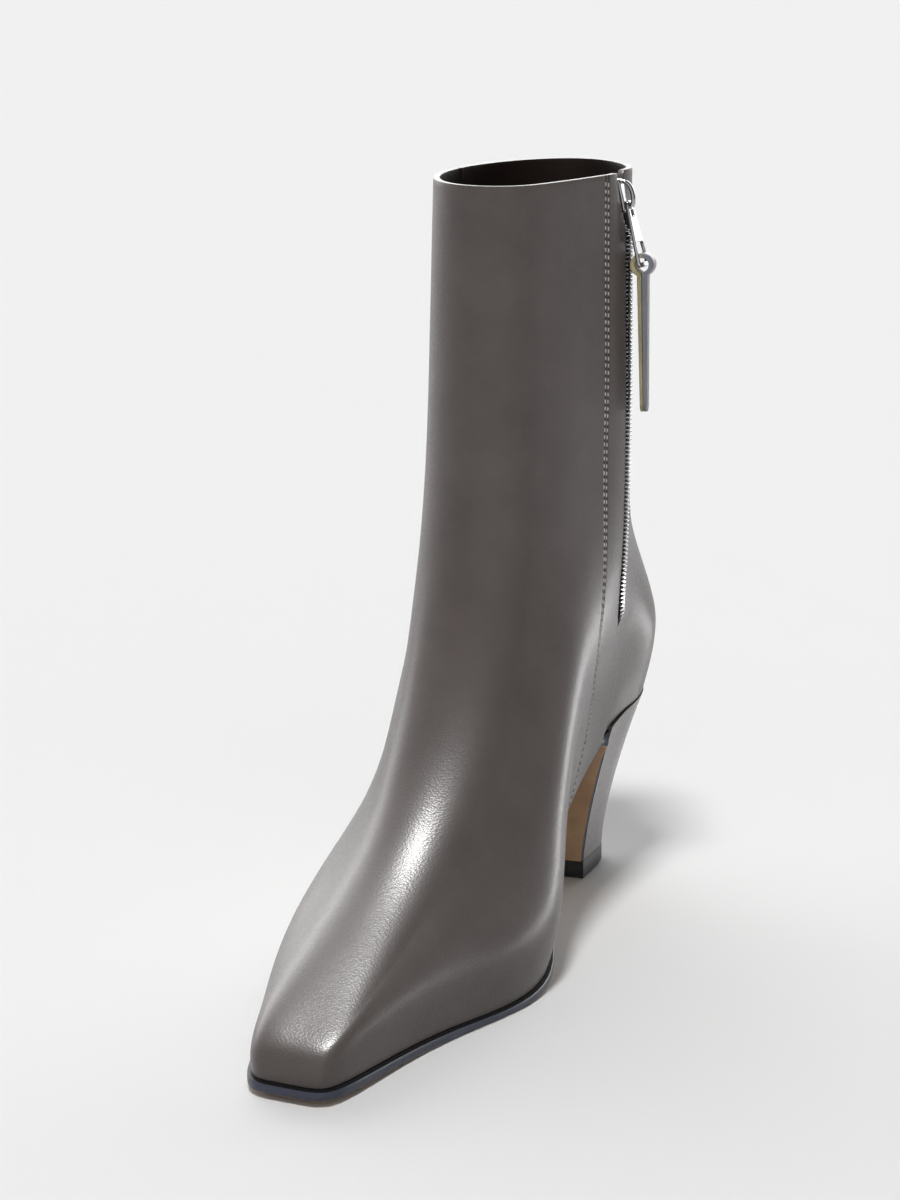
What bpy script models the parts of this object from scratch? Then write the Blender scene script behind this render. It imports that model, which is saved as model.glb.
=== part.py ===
"""Heeled ankle boot for the right foot: a lasted leather upper with a square toe and a straight shaft,
a thin leather sole whose flap runs down the heel breast, a slanted block heel and a zip on the medial side.

Metres, +Z up, standing on z = 0 over the origin. The toe points to -Y and the medial (inner) side to +X.
The last is drawn in its own frame, and main() moves the finished boot so that its box is centred.
"""

import math

import bmesh
import bpy
import numpy as np
from mathutils import Matrix, Vector

MM = 0.001

# Driving sizes
GAP = 0.3 * MM  # air between pieces that meet
WALL = 2.0 * MM  # leather and lining together
SOLE_THICKNESS = 3.2 * MM
WAIST_THICKNESS = 2.6 * MM
FLAP_THICKNESS = 1.4 * MM
SOLE_LEDGE = 1.2 * MM  # how far the sole stands out past the upper at the forepart
WAIST_TUCK = 0.8 * MM  # how far it is tucked in at the waist
INSOLE_THICKNESS = 2.4 * MM
INSOLE_INSET = 1.1 * MM  # from the inside of the wall
TOP_PIECE_HEIGHT = 6.3 * MM
TOP_PIECE_HALF_WIDTH = 14.3 * MM
TOP_PIECE_LENGTH = 31.5 * MM
HEEL_AXIS_X = -2.5 * MM  # the heel and the shaft stand a little to the lateral side of the ball
HEEL_ROUNDNESS = 4.0  # exponent of the back's curve in plan: 2 is an ellipse
HEEL_HOLLOW = 1.4  # how much sooner than straight the heel narrows under its seat
BREAST_TOP_Y = 84.0 * MM
BREAST_FOOT_Y = 85.0 * MM

# Rows round the last, from the toe along one side to the heel. "along" is the medial row's share of the
# level's length and "lag" how much further back its lateral twin lies. "medial" and "lateral" are half
# widths of the sole's cage and "sole_z" its height, in millimetres. "oval_deg" is the same row's place on
# an oval shaft, and "flat" scales the oval's medial half width: that side is straight from front to zip.
STATION_COLUMNS = ("along", "lag", "medial", "lateral", "sole_z", "oval_deg", "flat")
STATIONS = {
    "toe_centre": (0.006, 0.000, 0.0, 0.0, 5.2, 0, 1.00),
    "toe_flat": (0.000, 0.008, 8.5, 8.0, 5.2, 16, 1.00),
    "toe_corner": (0.010, 0.014, 13.5, 14.0, 5.1, 32, 0.90),
    "toe_side": (0.110, 0.014, 17.0, 21.0, 4.2, 47, 0.80),
    "ball_front": (0.260, 0.020, 23.5, 35.0, 3.2, 62, 0.79),
    "ball": (0.440, 0.025, 44.0, 46.5, 2.0, 76, 0.83),
    "waist": (0.630, 0.015, 15.0, 37.0, 19.5, 90, 0.93),
    "seat_front": (0.862, 0.000, 20.0, 30.5, 54.5, 104, 1.05),
    "heel_side": (0.925, 0.000, 26.0, 30.0, 58.6, 124, 1.04),
    "heel_quarter": (0.972, 0.000, 24.5, 27.0, 61.6, 144, 1.00),
    "heel_round": (1.000, 0.000, 14.0, 17.0, 63.0, 162, 1.00),
    "heel_back": (1.006, 0.000, -2.0, 2.0, 63.5, 180, 1.00),
}

# Level loops of the upper's cage, from the sole to the collar, in millimetres. "share" blends the sole's
# outline (1) into an oval (0), "follow" keeps the loop at one height over the sole (1) or straight from
# front to back (0), "girth" scales the sole's outline, "ridge_x" moves the loop's front towards the medial
# side and "shift_x" moves all of it.
PLACE_COLUMNS = ("front_y", "front_z", "back_y", "back_z")
FORM_COLUMNS = ("half_width", "share", "follow", "girth", "ridge_x", "shift_x")
LEVEL_COLUMNS = PLACE_COLUMNS + FORM_COLUMNS
LEVELS = {
    "feather": (-140.0, 5.2, 119.5, 63.5, 30.0, 1.00, 1.0, 1.00, 0.0, 0.0),
    "wall": (-141.5, 11.0, 126.5, 73.0, 32.0, 1.00, 1.0, 1.04, 0.0, 0.3),
    "toe_top": (-137.5, 19.5, 132.0, 88.0, 34.0, 0.92, 1.0, 1.05, 0.0, 1.4),
    "vamp_low": (-103.0, 30.0, 131.0, 104.0, 32.0, 0.55, 1.0, 0.92, 2.0, 1.6),
    "vamp_mid": (-58.0, 45.0, 124.5, 120.0, 30.5, 0.25, 0.9, 0.80, 3.2, 1.0),
    "instep": (-18.0, 71.0, 118.5, 138.0, 30.5, 0.08, 0.6, 0.80, 2.8, -0.8),
    "throat": (6.5, 106.0, 116.0, 157.0, 30.0, 0.00, 0.2, 0.80, 2.0, -2.0),
    "shaft_low": (17.5, 146.0, 117.0, 180.0, 29.8, 0.00, 0.0, 0.80, 1.0, -2.2),
    "shaft_mid": (20.0, 190.0, 120.0, 208.0, 29.0, 0.00, 0.0, 0.80, 0.0, -2.2),
    "collar": (21.0, 234.0, 122.0, 234.0, 28.3, 0.00, 0.0, 0.80, 0.0, -2.2),
}
HALF_TURN = len(STATIONS) - 1  # the surface's v at the heel's back; v runs 0 to twice this
TURN = 2 * HALF_TURN
COLLAR_U = len(LEVELS) - 1  # the surface's u at the collar; u runs from 0 at the sole

# The front panel's edge runs from the collar to the heel's front corner. Down to the zip's foot it is the
# slot's front edge; below that the panel laps over the quarter.
EDGE_COLLAR_V = 6.7
EDGE_SOLE_V = 7.06
SLOT_FOOT_U = 3.4
SLOT_WIDTH = 6.0 * MM
SEAM_STEP = 0.8 * MM
SEAM_STEP_V = 0.06
SEAM_FADE_V = 1.2
SEAM_FADE_U = 0.6

# At the collar both edges of the slot are drawn inwards
DENT_DEPTH = 3.6 * MM
DENT_V = EDGE_COLLAR_V + 0.23
DENT_REACH_V = 0.55
DENT_FOOT_U = COLLAR_U - 0.65


def station(name):
    index = STATION_COLUMNS.index(name)
    return np.array([row[index] for row in STATIONS.values()], float)


def smooth_through(x, xs, ys):
    """A smooth curve through the points (xs, ys), read at x."""
    slopes = np.gradient(ys, xs)
    k = np.clip(np.searchsorted(xs, x) - 1, 0, len(xs) - 2)
    step = xs[k + 1] - xs[k]
    t = np.clip((x - xs[k]) / step, 0.0, 1.0)
    rise = ys[k] * (1 + 2 * t) * (1 - t) ** 2 + ys[k + 1] * t**2 * (3 - 2 * t)
    return rise + step * t * (1 - t) * (slopes[k] * (1 - t) - slopes[k + 1] * t)


def eased(y, start, end):
    """0 up to start, 1 from end on, smooth between."""
    t = np.clip((y - start) / (end - start), 0, 1)
    return t * t * (3 - 2 * t)


def sole_cage_height(y):
    """Height of the sole's cage under a point at y, in millimetres."""
    feather = dict(zip(LEVEL_COLUMNS, LEVELS["feather"]))
    along = (station("along") + station("lag") / 2)[1:]
    ys = feather["front_y"] + along * (feather["back_y"] - feather["front_y"])
    return smooth_through(y, ys, station("sole_z")[1:])


def cage_loop(level):
    """One level of the cage: the medial rows from toe to heel, then the lateral rows back to the toe."""
    size = dict(zip(LEVEL_COLUMNS, level))
    share, follow = size["share"], size["follow"]
    angle = np.radians(station("oval_deg"))
    oval = (1 - share) * size["half_width"] * np.sin(angle)
    front_rise = size["front_z"] - sole_cage_height(size["front_y"])
    back_rise = size["back_z"] - sole_cage_height(size["back_y"])
    rows = []
    for sign, side, lag, flat in ((1, "medial", 0, station("flat")), (-1, "lateral", 1, 1.0)):
        along = share * (station("along") + lag * station("lag")) + (1 - share) * (1 - np.cos(angle)) / 2
        y = size["front_y"] + along * (size["back_y"] - size["front_y"])
        line = size["front_z"] + along * (size["back_z"] - size["front_z"])
        over_sole = sole_cage_height(y) + front_rise + along * (back_rise - front_rise)
        lean = size["ridge_x"] * (1 - along) + size["shift_x"]
        x = lean + sign * (share * size["girth"] * station(side) + flat * oval)
        rows.append(np.stack([x, y, follow * over_sole + (1 - follow) * line], -1))
    return np.concatenate([rows[0], rows[1][-2:0:-1]]) * MM


CAGE = np.stack([cage_loop(level) for level in LEVELS.values()])


def cubic_weights(t):
    """The four weights of a uniform cubic B-spline at t from 0 to 1."""
    return np.stack([(1 - t) ** 3, 3 * t**3 - 6 * t**2 + 4, -3 * t**3 + 3 * t**2 + 3 * t + 1, t**3], -1) / 6


def closed_weights(v):
    whole = np.floor(v).astype(int)
    weights = np.zeros((len(v), TURN))
    for k, weight in enumerate(cubic_weights(v - whole).T):
        np.add.at(weights, (np.arange(len(v)), (whole + k - 1) % TURN), weight)
    return weights


def open_weights(u):
    """As closed_weights, for the levels: mirrored levels past the ends bring the surface to the ends."""
    count = COLLAR_U + 1
    whole = np.clip(np.floor(u).astype(int), 0, count - 2)
    weights = np.zeros((len(u), count + 2))
    for k, weight in enumerate(cubic_weights(u - whole).T):
        weights[np.arange(len(u)), whole + k] += weight
    inner = weights[:, 1:-1].copy()
    for end, beside, mirrored in ((0, 1, weights[:, 0]), (-1, -2, weights[:, -1])):
        inner[:, end] += 2 * mirrored
        inner[:, beside] -= mirrored
    return inner


def smooth_surface(u, v):
    """Points of the last's outer surface on the grid of u (sole to collar) and v (round the boot)."""
    u, v = np.atleast_1d(u).astype(float), np.atleast_1d(v).astype(float)
    return np.einsum("ur,rcx,vc->uvx", open_weights(u), CAGE, closed_weights(v))


def surface_normals(u, v, reach=0.02):
    u, v = np.atleast_1d(u).astype(float), np.atleast_1d(v).astype(float)
    up = smooth_surface(np.minimum(u + reach, COLLAR_U), v) - smooth_surface(np.maximum(u - reach, 0), v)
    round_ = smooth_surface(u, v + reach) - smooth_surface(u, v - reach)
    normals = np.cross(round_, up)
    return normals / np.linalg.norm(normals, axis=-1, keepdims=True)


def edge_v(u):
    """v of the front panel's edge at each level."""
    return EDGE_SOLE_V + (EDGE_COLLAR_V - EDGE_SOLE_V) * eased(u, 4.5, 8.0)


def lap_depth(u, v):
    """How far the quarter lies below the front panel: most at the panel's edge, fading to the heel."""
    past = (v[None, :] - edge_v(u)[:, None]) % TURN
    rise = np.clip(past / SEAM_STEP_V, 0, 1)
    fade = np.clip(1 - past / SEAM_FADE_V, 0, 1)
    across = np.where(past < SEAM_FADE_V, rise * fade**2 * (3 - 2 * fade), 0.0)
    below_zip = np.clip((SLOT_FOOT_U - u) / SEAM_FADE_U, 0, 1)
    return SEAM_STEP * below_zip[:, None] * across


def dent_depth(u, v):
    """How far the upper is drawn in beside the top of the zip."""
    across = np.exp(-(((v - DENT_V) / DENT_REACH_V) ** 2))
    return DENT_DEPTH * eased(u, DENT_FOOT_U, COLLAR_U)[:, None] * across[None, :]


def upper_points(u, v, depth=0.0):
    """Points of the upper at a depth below its outer face."""
    u, v = np.atleast_1d(u).astype(float), np.atleast_1d(v).astype(float)
    below = depth + lap_depth(u, v) + dent_depth(u, v)
    return smooth_surface(u, v) - surface_normals(u, v) * below[..., None]


def slot_rear_v(u):
    """v of the slot's rear edge, so that the slot keeps its width."""
    front = edge_v(u)
    span = np.linalg.norm(smooth_surface(u, front + 0.5) - smooth_surface(u, front), axis=-1)
    return front + 0.5 * SLOT_WIDTH / span[0, 0]


# The grid of the upper
FRONT_COLUMNS = np.concatenate([np.arange(0, 3, 0.25), np.arange(3, EDGE_COLLAR_V - 0.1, 0.5)])
REAR_COLUMNS = np.concatenate([np.arange(7.5, TURN - 3, 0.5), np.arange(TURN - 3, TURN, 0.25)])
LEVEL_STEPS = np.unique(np.concatenate([np.linspace(0, COLLAR_U, 28), [SLOT_FOOT_U, 8.5, 8.83]]))
SLOT_COLUMN = len(FRONT_COLUMNS)  # the slot's front edge; its rear edge is two columns further


def columns_at(u):
    """The grid's v at one level."""
    slot = [edge_v(u), edge_v(u) + SEAM_STEP_V, slot_rear_v(u)]
    return np.concatenate([FRONT_COLUMNS, slot, REAR_COLUMNS])


# The line where upper and sole meet, round the last
FEATHER_V = np.linspace(0, TURN, 40 * TURN + 1)
FEATHER = smooth_surface(0, FEATHER_V)[0]


def sole_top(y):
    """Height of the upper's lower edge at y, on its lower side and along the straight edges of its grid."""
    edge = smooth_surface(0, np.append(columns_at(0), TURN))[0]
    heel = np.argmax(edge[:, 1])
    sides = edge[: heel + 1], edge[heel:][::-1]
    return np.minimum(*[np.interp(y, side[:, 1], side[:, 2]) for side in sides])


def outline_beside_feather(offset):
    """The feather line moved outwards in plan by offset(y): x and y of its medial and its lateral side."""
    along = np.gradient(FEATHER[:, :2], axis=0)
    along /= np.linalg.norm(along, axis=1, keepdims=True)
    outward = np.stack([along[:, 1], -along[:, 0]], -1)
    moved = FEATHER[:, :2] + outward * offset(FEATHER[:, 1])[:, None]
    half = 20 * TURN + 1
    return moved[:half], moved[half - 1 :][::-1]


def half_widths(outline, y):
    """x of the medial and of the lateral side of an outline at y."""
    return [np.interp(y, side[:, 1], side[:, 0]) for side in outline]


def new_material(name, colour, roughness, metallic=0.0):
    material = bpy.data.materials.new(name)
    material.use_nodes = True
    shader = material.node_tree.nodes["Principled BSDF"]
    shader.inputs["Base Color"].default_value = (*colour, 1.0)
    shader.inputs["Roughness"].default_value = roughness
    shader.inputs["Metallic"].default_value = metallic
    return material


def add_object(name, mesh, material, collection, smooth_deg=35):
    mesh.materials.append(material)
    mesh.shade_smooth()
    mesh.set_sharp_from_angle(angle=math.radians(smooth_deg))
    obj = bpy.data.objects.new(name, mesh)
    collection.objects.link(obj)
    return obj


def loft(name, rings, caps=True):
    """A mesh over rings of points: closed round each ring, open or capped at the ends."""
    work = bmesh.new()
    rows = [[work.verts.new(point) for point in ring] for ring in rings]
    for low, high in zip(rows, rows[1:]):
        for k in range(len(low)):
            after = (k + 1) % len(low)
            work.faces.new((low[k], low[after], high[after], high[k]))
    if caps:
        work.faces.new(rows[0][::-1])
        work.faces.new(rows[-1])
    bmesh.ops.recalc_face_normals(work, faces=work.faces)
    mesh = bpy.data.meshes.new(name)
    work.to_mesh(mesh)
    work.free()
    return mesh


def ribbon(name, upper_side, lower_side):
    """A sheet lofted across X from rows of (medial x, lateral x, y, z) along its two faces."""
    rings = []
    for (top_m, top_l, top_y, top_z), (low_m, low_l, low_y, low_z) in zip(upper_side, lower_side):
        top = [(top_m, top_y, top_z), (top_l, top_y, top_z)]
        rings.append(top + [(low_l, low_y, low_z), (low_m, low_y, low_z)])
    return loft(name, rings)


# Upper: the surface on a grid with the zip's slot left out, then its wall
def build_upper(material, collection):
    work = bmesh.new()
    rows = [[work.verts.new(point) for point in upper_points(u, columns_at(u))[0]] for u in LEVEL_STEPS]
    for u, low, high in zip(LEVEL_STEPS, rows, rows[1:]):
        for j in range(len(low)):
            if u >= SLOT_FOOT_U and SLOT_COLUMN <= j < SLOT_COLUMN + 2:
                continue
            after = (j + 1) % len(low)
            work.faces.new((low[j], low[after], high[after], high[j]))
    loose = [vert for vert in work.verts if not vert.link_faces]
    bmesh.ops.delete(work, geom=loose, context="VERTS")
    mesh = bpy.data.meshes.new("upper")
    work.to_mesh(mesh)
    work.free()
    upper = add_object("upper", mesh, material, collection)
    wall = upper.modifiers.new("wall", "SOLIDIFY")
    wall.thickness = WALL
    wall.offset = -1.0
    wall.use_even_offset = True
    return upper


# Sole and insole: sheets that follow the feather line
def sole_ledge(y):
    """How far the sole stands out past the upper: a ledge round the forepart, tucked in at the waist."""
    return SOLE_LEDGE - (SOLE_LEDGE + WAIST_TUCK) * eased(y, -25 * MM, 35 * MM)


def sole_thickness(y):
    return SOLE_THICKNESS - (SOLE_THICKNESS - WAIST_THICKNESS) * eased(y, -10 * MM, 40 * MM)


def sheet_rows(outline, y, z, inset=0.0):
    """Rows for ribbon(): the outline's two sides at each y, drawn in by an inset."""
    medial, lateral = half_widths(outline, y)
    return np.stack([medial - inset, lateral + inset, y, z], -1)


def toe_spacing(tip, end, count):
    """y from the tip to the end, close together at the tip's corners."""
    t = np.linspace(0, 1, count)
    return tip + (end - tip) * (0.25 * t + 0.75 * t**2.2)


def heel_share(drop):
    """Share of the way from the seat's outline to the top piece's, at a share of the way down."""
    return 1 - (1 - drop) ** HEEL_HOLLOW


def breast_y(drop):
    return BREAST_TOP_Y + (BREAST_FOOT_Y - BREAST_TOP_Y) * heel_share(drop)


HEEL_FOOT_Z = TOP_PIECE_HEIGHT + GAP
BREAST_TOP_Z = float(sole_top(BREAST_TOP_Y)) - GAP


def build_outsole(material, collection):
    outline = outline_beside_feather(sole_ledge)
    tip = outline[0][0, 1]
    y = toe_spacing(tip, BREAST_TOP_Y - 7 * MM, 60)
    z = sole_top(y) - GAP
    slope = np.arctan(np.gradient(z, y))
    low_y = y + sole_thickness(y) * np.sin(slope)
    low_z = np.maximum(z - sole_thickness(y) * np.cos(slope), 0.0)
    top = list(sheet_rows(outline, y, z))
    low = list(sheet_rows(outline, low_y, low_z, 0.3 * MM))

    # The bend into the breast, then the flap down to the top piece
    corner = np.array([BREAST_TOP_Y - GAP, BREAST_TOP_Z])
    inner_y = corner[0] - FLAP_THICKNESS
    inner = np.array([inner_y, low_z[-1] + 0.42 * (inner_y - low_y[-1])])
    start_low = np.array([low_y[-1], low_z[-1]])
    end_low = np.array([inner[0], inner[1] - 7 * MM])
    for t in (0.25, 0.5, 0.75, 1.0):
        bend = (1 - t) ** 2 * start_low + 2 * t * (1 - t) * inner + t**2 * end_low
        if t < 0.5:
            back = (1 - 2 * t) * np.array([y[-1], z[-1]]) + 2 * t * corner
        else:
            back = corner - np.array([0.0, (2 * t - 1) * (corner[1] - end_low[1])])
        top.append(sheet_rows(outline, np.minimum(back[:1], corner[0]), back[1:])[0])
        low.append(sheet_rows(outline, np.minimum(bend[:1], corner[0]), bend[1:], 0.3 * MM)[0])
        if t >= 0.5:
            drop = (BREAST_TOP_Z - back[1]) / (BREAST_TOP_Z - HEEL_FOOT_Z)
            medial, lateral = breast_sides(drop)
            top[-1][:3] = medial - GAP, lateral + GAP, breast_y(drop) - GAP
            low[-1][:2] = medial - GAP, lateral + GAP
    first = (BREAST_TOP_Z - end_low[1]) / (BREAST_TOP_Z - HEEL_FOOT_Z)
    for drop in np.linspace(first, 1, 7)[1:]:
        medial, lateral = breast_sides(drop)
        z_here = BREAST_TOP_Z + drop * (HEEL_FOOT_Z - BREAST_TOP_Z)
        sides = [medial - GAP, lateral + GAP]
        top.append(np.array([*sides, breast_y(drop) - GAP, z_here]))
        low.append(np.array([*sides, breast_y(drop) - GAP - FLAP_THICKNESS, z_here]))
    return add_object("outsole", ribbon("outsole", top, low), material, collection)


def build_insole(material, collection):
    outline = outline_beside_feather(lambda y: np.full_like(y, -WALL - INSOLE_INSET))
    tip, back = outline[0][0, 1], outline[0][-1, 1]
    middle = 60 * MM
    round_back = middle + (back - middle) * np.sin(np.linspace(0, 0.97, 18) * math.pi / 2)
    y = np.concatenate([toe_spacing(tip + 0.2 * MM, middle, 34)[:-1], round_back])
    low = sheet_rows(outline, y, sole_top(y))
    top = sheet_rows(outline, y, sole_top(y) + INSOLE_THICKNESS)
    return add_object("insole", ribbon("insole", top, low), material, collection)


# Heel: from the seat's outline down to the top piece's
HEEL_STEPS = np.sin(np.linspace(0, 1, 13) * math.pi / 2)
SEAT_OUTLINE = outline_beside_feather(lambda y: np.full_like(y, 0.3 * MM))
SEAT_BACK_Y = SEAT_OUTLINE[0][-1, 1]


def heel_sides(drop):
    """Medial x, lateral x and y of the heel's plan from breast to back, at a share of the way down."""
    seat_y = BREAST_TOP_Y + (SEAT_BACK_Y - BREAST_TOP_Y) * HEEL_STEPS
    seat = half_widths(SEAT_OUTLINE, seat_y)
    foot_x = TOP_PIECE_HALF_WIDTH * (1 - HEEL_STEPS**HEEL_ROUNDNESS) ** (1 / HEEL_ROUNDNESS)
    foot_y = BREAST_FOOT_Y + TOP_PIECE_LENGTH * HEEL_STEPS
    share = heel_share(drop)
    medial = seat[0] + share * (HEEL_AXIS_X + foot_x - seat[0])
    lateral = seat[1] + share * (HEEL_AXIS_X - foot_x - seat[1])
    return medial, lateral, seat_y + share * (foot_y - seat_y)


def breast_sides(drop):
    medial, lateral, _ = heel_sides(drop)
    return medial[0], lateral[0]


def heel_ring(medial, lateral, y, z):
    right = np.stack([medial, y, z], -1)
    left = np.stack([lateral, y, z], -1)
    return np.concatenate([right[:-1], [[0.5 * (medial[-1] + lateral[-1]), y[-1], z[-1]]], left[-2::-1]])


def close_across(mesh, ring_size, rings):
    """Caps the first and the last ring of an open loft with strips from side to side."""
    work = bmesh.new()
    work.from_mesh(mesh)
    work.verts.ensure_lookup_table()
    back = ring_size // 2
    for base in (0, ring_size * (rings - 1)):
        for k in range(back - 1):
            far = ring_size - 1 - k
            work.faces.new([work.verts[base + i] for i in (k, k + 1, far - 1, far)])
        work.faces.new([work.verts[base + i] for i in (back - 1, back, back + 1)])
    bmesh.ops.recalc_face_normals(work, faces=work.faces)
    work.to_mesh(mesh)
    work.free()
    return mesh


def build_heel(material, collection):
    rings = []
    for drop in np.linspace(0, 1, 12) ** 1.3:
        medial, lateral, y = heel_sides(drop)
        seat_y = heel_sides(0.0)[2]
        z = sole_top(seat_y) - GAP
        rings.append(heel_ring(medial, lateral, y, z + drop * (HEEL_FOOT_Z - z)))
    mesh = close_across(loft("heel", rings, caps=False), len(rings[0]), len(rings))
    return add_object("heel", mesh, material, collection, smooth_deg=40)


def build_top_piece(material, collection):
    medial, lateral, y = heel_sides(1.0)
    rings = [heel_ring(medial, lateral, y, np.full_like(y, z)) for z in (0.0, TOP_PIECE_HEIGHT)]
    mesh = close_across(loft("top_piece", rings, caps=False), len(rings[0]), len(rings))
    return add_object("top_piece", mesh, material, collection, smooth_deg=40)


# Zip: tape behind the slot, chain in it, and slider, link and strap near the collar
TAPE_THICKNESS = 0.8 * MM
TAPE_BELOW_SLOT_U = 0.3
CHAIN_CLEAR = 0.35 * MM  # to the slot's edges
CHAIN_DEPTH = 1.0 * MM  # of the teeth below the upper's face
CHAIN_TOP_U = COLLAR_U - 0.42  # under the slider's foot
SLIDER_BELOW_COLLAR = 7.6 * MM


def strip(name, levels, columns, outer_depth, inner_depth):
    """A sheet that follows the upper between two depths below its face, over columns(u) at each level."""
    rings = []
    for u in levels:
        outer = upper_points(u, columns(u), outer_depth)[0]
        inner = upper_points(u, columns(u), inner_depth)[0]
        rings.append(np.concatenate([outer, inner[::-1]]))
    return loft(name, rings)


def build_zip_tape(material, collection):
    levels = np.concatenate([[SLOT_FOOT_U - TAPE_BELOW_SLOT_U], LEVEL_STEPS[LEVEL_STEPS >= SLOT_FOOT_U]])
    levels[-1] -= 0.05

    def columns(u):
        return columns_at(u)[SLOT_COLUMN - 1 : SLOT_COLUMN + 4]

    mesh = strip("zip_tape", levels, columns, WALL + GAP, WALL + GAP + TAPE_THICKNESS)
    return add_object("zip_tape", mesh, material, collection)


def build_zip_chain(material, collection):
    inner = LEVEL_STEPS[(LEVEL_STEPS > SLOT_FOOT_U) & (LEVEL_STEPS < CHAIN_TOP_U)]
    levels = [SLOT_FOOT_U + 0.06, *inner, CHAIN_TOP_U]

    def columns(u):
        front, rear = edge_v(u), slot_rear_v(u)
        clear = CHAIN_CLEAR * (rear - front) / SLOT_WIDTH
        return np.array([front + clear, rear - clear])

    mesh = strip("zip_chain", levels, columns, CHAIN_DEPTH, WALL)
    return add_object("zip_chain", mesh, material, collection)


def slider_frame():
    """Where the slider sits: local X to the heel, local Y up the zip and local Z out of the upper."""
    us = np.linspace(COLLAR_U - 1, COLLAR_U, 200)
    v = (edge_v(COLLAR_U) + slot_rear_v(COLLAR_U)) / 2
    line = upper_points(us, v)[:, 0]
    k = np.argmin(abs(line[-1, 2] - line[:, 2] - SLIDER_BELOW_COLLAR))
    near = abs(line[:, 2] - line[k, 2]) < PLATE_LENGTH / 2
    up = Vector(line[near][-1] - line[near][0]).normalized()
    out = Vector(surface_normals(us[k], v)[0, 0])
    out = (out - out.project(up)).normalized()
    turn = Matrix((up.cross(out), up, out)).transposed()
    return Matrix.Translation(line[k]) @ turn.to_4x4()


def rounded(corners, radius, steps=4):
    """A polygon's corners rounded off, as a closed list of points."""
    points = []
    for k, corner in enumerate(corners):
        corner = Vector(corner)
        before = (Vector(corners[k - 1]) - corner).normalized()
        after = (Vector(corners[(k + 1) % len(corners)]) - corner).normalized()
        start, end = corner + before * radius, corner + after * radius
        for t in np.linspace(0, 1, steps + 1):
            points.append((1 - t) ** 2 * start + 2 * t * (1 - t) * corner + t**2 * end)
    return points


def prism(name, outline, half_height):
    """An outline in local X and Y made solid on both sides of z = 0."""
    return loft(name, [[(x, y, z) for x, y in outline] for z in (-half_height, half_height)])


def shape_with(obj, name, mesh, operation, cutters):
    """Joins, cuts or keeps a part of an object by another mesh in the same local frame."""
    tool = bpy.data.objects.new(name, mesh)
    cutters.objects.link(tool)
    tool.parent = obj
    tool.hide_render = True
    tool.display_type = "WIRE"
    step = obj.modifiers.new(name, "BOOLEAN")
    step.operation = operation
    step.solver = "EXACT"
    step.object = tool


# Slider: a plate on the chain with a wire bail, in slider_frame(), whose z = 0 is the upper's face
PLATE_WIDTH, PLATE_LENGTH, PLATE_THICKNESS = 5.2 * MM, 11.0 * MM, 1.7 * MM
PLATE_FOOT = GAP - CHAIN_DEPTH
PLATE_TOP = PLATE_FOOT + PLATE_THICKNESS
BAIL_WIRE = 0.7 * MM  # radius
BAIL_TOP = 3.8 * MM  # middle of the wire
BAIL_UPPER_END, BAIL_LOWER_END = 4.2 * MM, -4.8 * MM

# Link: a flat ring plate that hangs on the bail and leans out from the zip
LINK_THICKNESS = 1.1 * MM
LINK_LENGTH = 21.4 * MM
LINK_TOP_WIDTH, LINK_FOOT_WIDTH = 5.6 * MM, 11.0 * MM
LINK_BAR = 0.9 * MM
LINK_FOOT_BAR = 1.6 * MM
LINK_EYE_LENGTH, LINK_EYE_WIDTH = 4.4 * MM, 3.0 * MM
LINK_SLOT_LENGTH, LINK_SLOT_WIDTH = 6.4 * MM, 8.6 * MM
LINK_LEAN = math.radians(2.5)
HINGE_OUT = PLATE_TOP + 0.9 * MM
HINGE_UP = -2.4 * MM

# Strap: a leather strip folded through the link's slot, hanging plumb and turned a little to the heel
STRAP_LAYER = 1.5 * MM
STRAP_TIP_LAYER = 1.0 * MM
STRAP_TWIST = math.radians(12)
STRAP_LOOP_RADIUS = 2.2 * MM  # inside
STRAP_WIDTH = 7.6 * MM
STRAP_TIP_WIDTH = 6.0 * MM
STRAP_LENGTH = 46.4 * MM  # from the loop's middle


def tube(name, path, radius, sides=10):
    """A round wire along a path in the plane x = 0."""
    path = np.array(path)
    along = np.gradient(path, axis=0)
    along /= np.linalg.norm(along, axis=1, keepdims=True)
    across = np.stack([-along[:, 1], along[:, 0]], -1)
    turn = np.arange(sides) * 2 * math.pi / sides
    rings = []
    for (y, z), (side_y, side_z) in zip(path, across):
        x, out = radius * np.cos(turn), radius * np.sin(turn)
        rings.append(np.stack([x, y + out * side_y, z + out * side_z], -1))
    return loft(name, rings)


def build_zip_slider(material, collection, cutters, place):
    foot = (PLATE_FOOT + PLATE_TOP) / 2
    head, tail, end = PLATE_WIDTH / 2, 0.36 * PLATE_WIDTH, PLATE_LENGTH / 2
    plate = rounded([(head, end), (-head, end), (-tail, -end), (tail, -end)], 1.6 * MM)
    low = [(x, y, PLATE_FOOT) for x, y in plate]
    high = [(0.9 * x, 0.93 * y, PLATE_TOP) for x, y in plate]
    middle = [(x, y, PLATE_TOP - 0.5 * MM) for x, y in plate]
    slider = add_object("zip_slider", loft("zip_slider", [low, middle, high]), material, collection)
    slider.matrix_world = place

    centre = (BAIL_UPPER_END + BAIL_LOWER_END) / 2
    reach = (BAIL_UPPER_END - BAIL_LOWER_END) / 2
    arch = []
    for angle in np.linspace(0, math.pi, 15):
        arch.append((centre + reach * math.cos(angle), foot + (BAIL_TOP - foot) * math.sin(angle) ** 0.6))
    shape_with(slider, "bail_wire", tube("bail_wire", arch, BAIL_WIRE), "UNION", cutters)
    return slider


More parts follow.
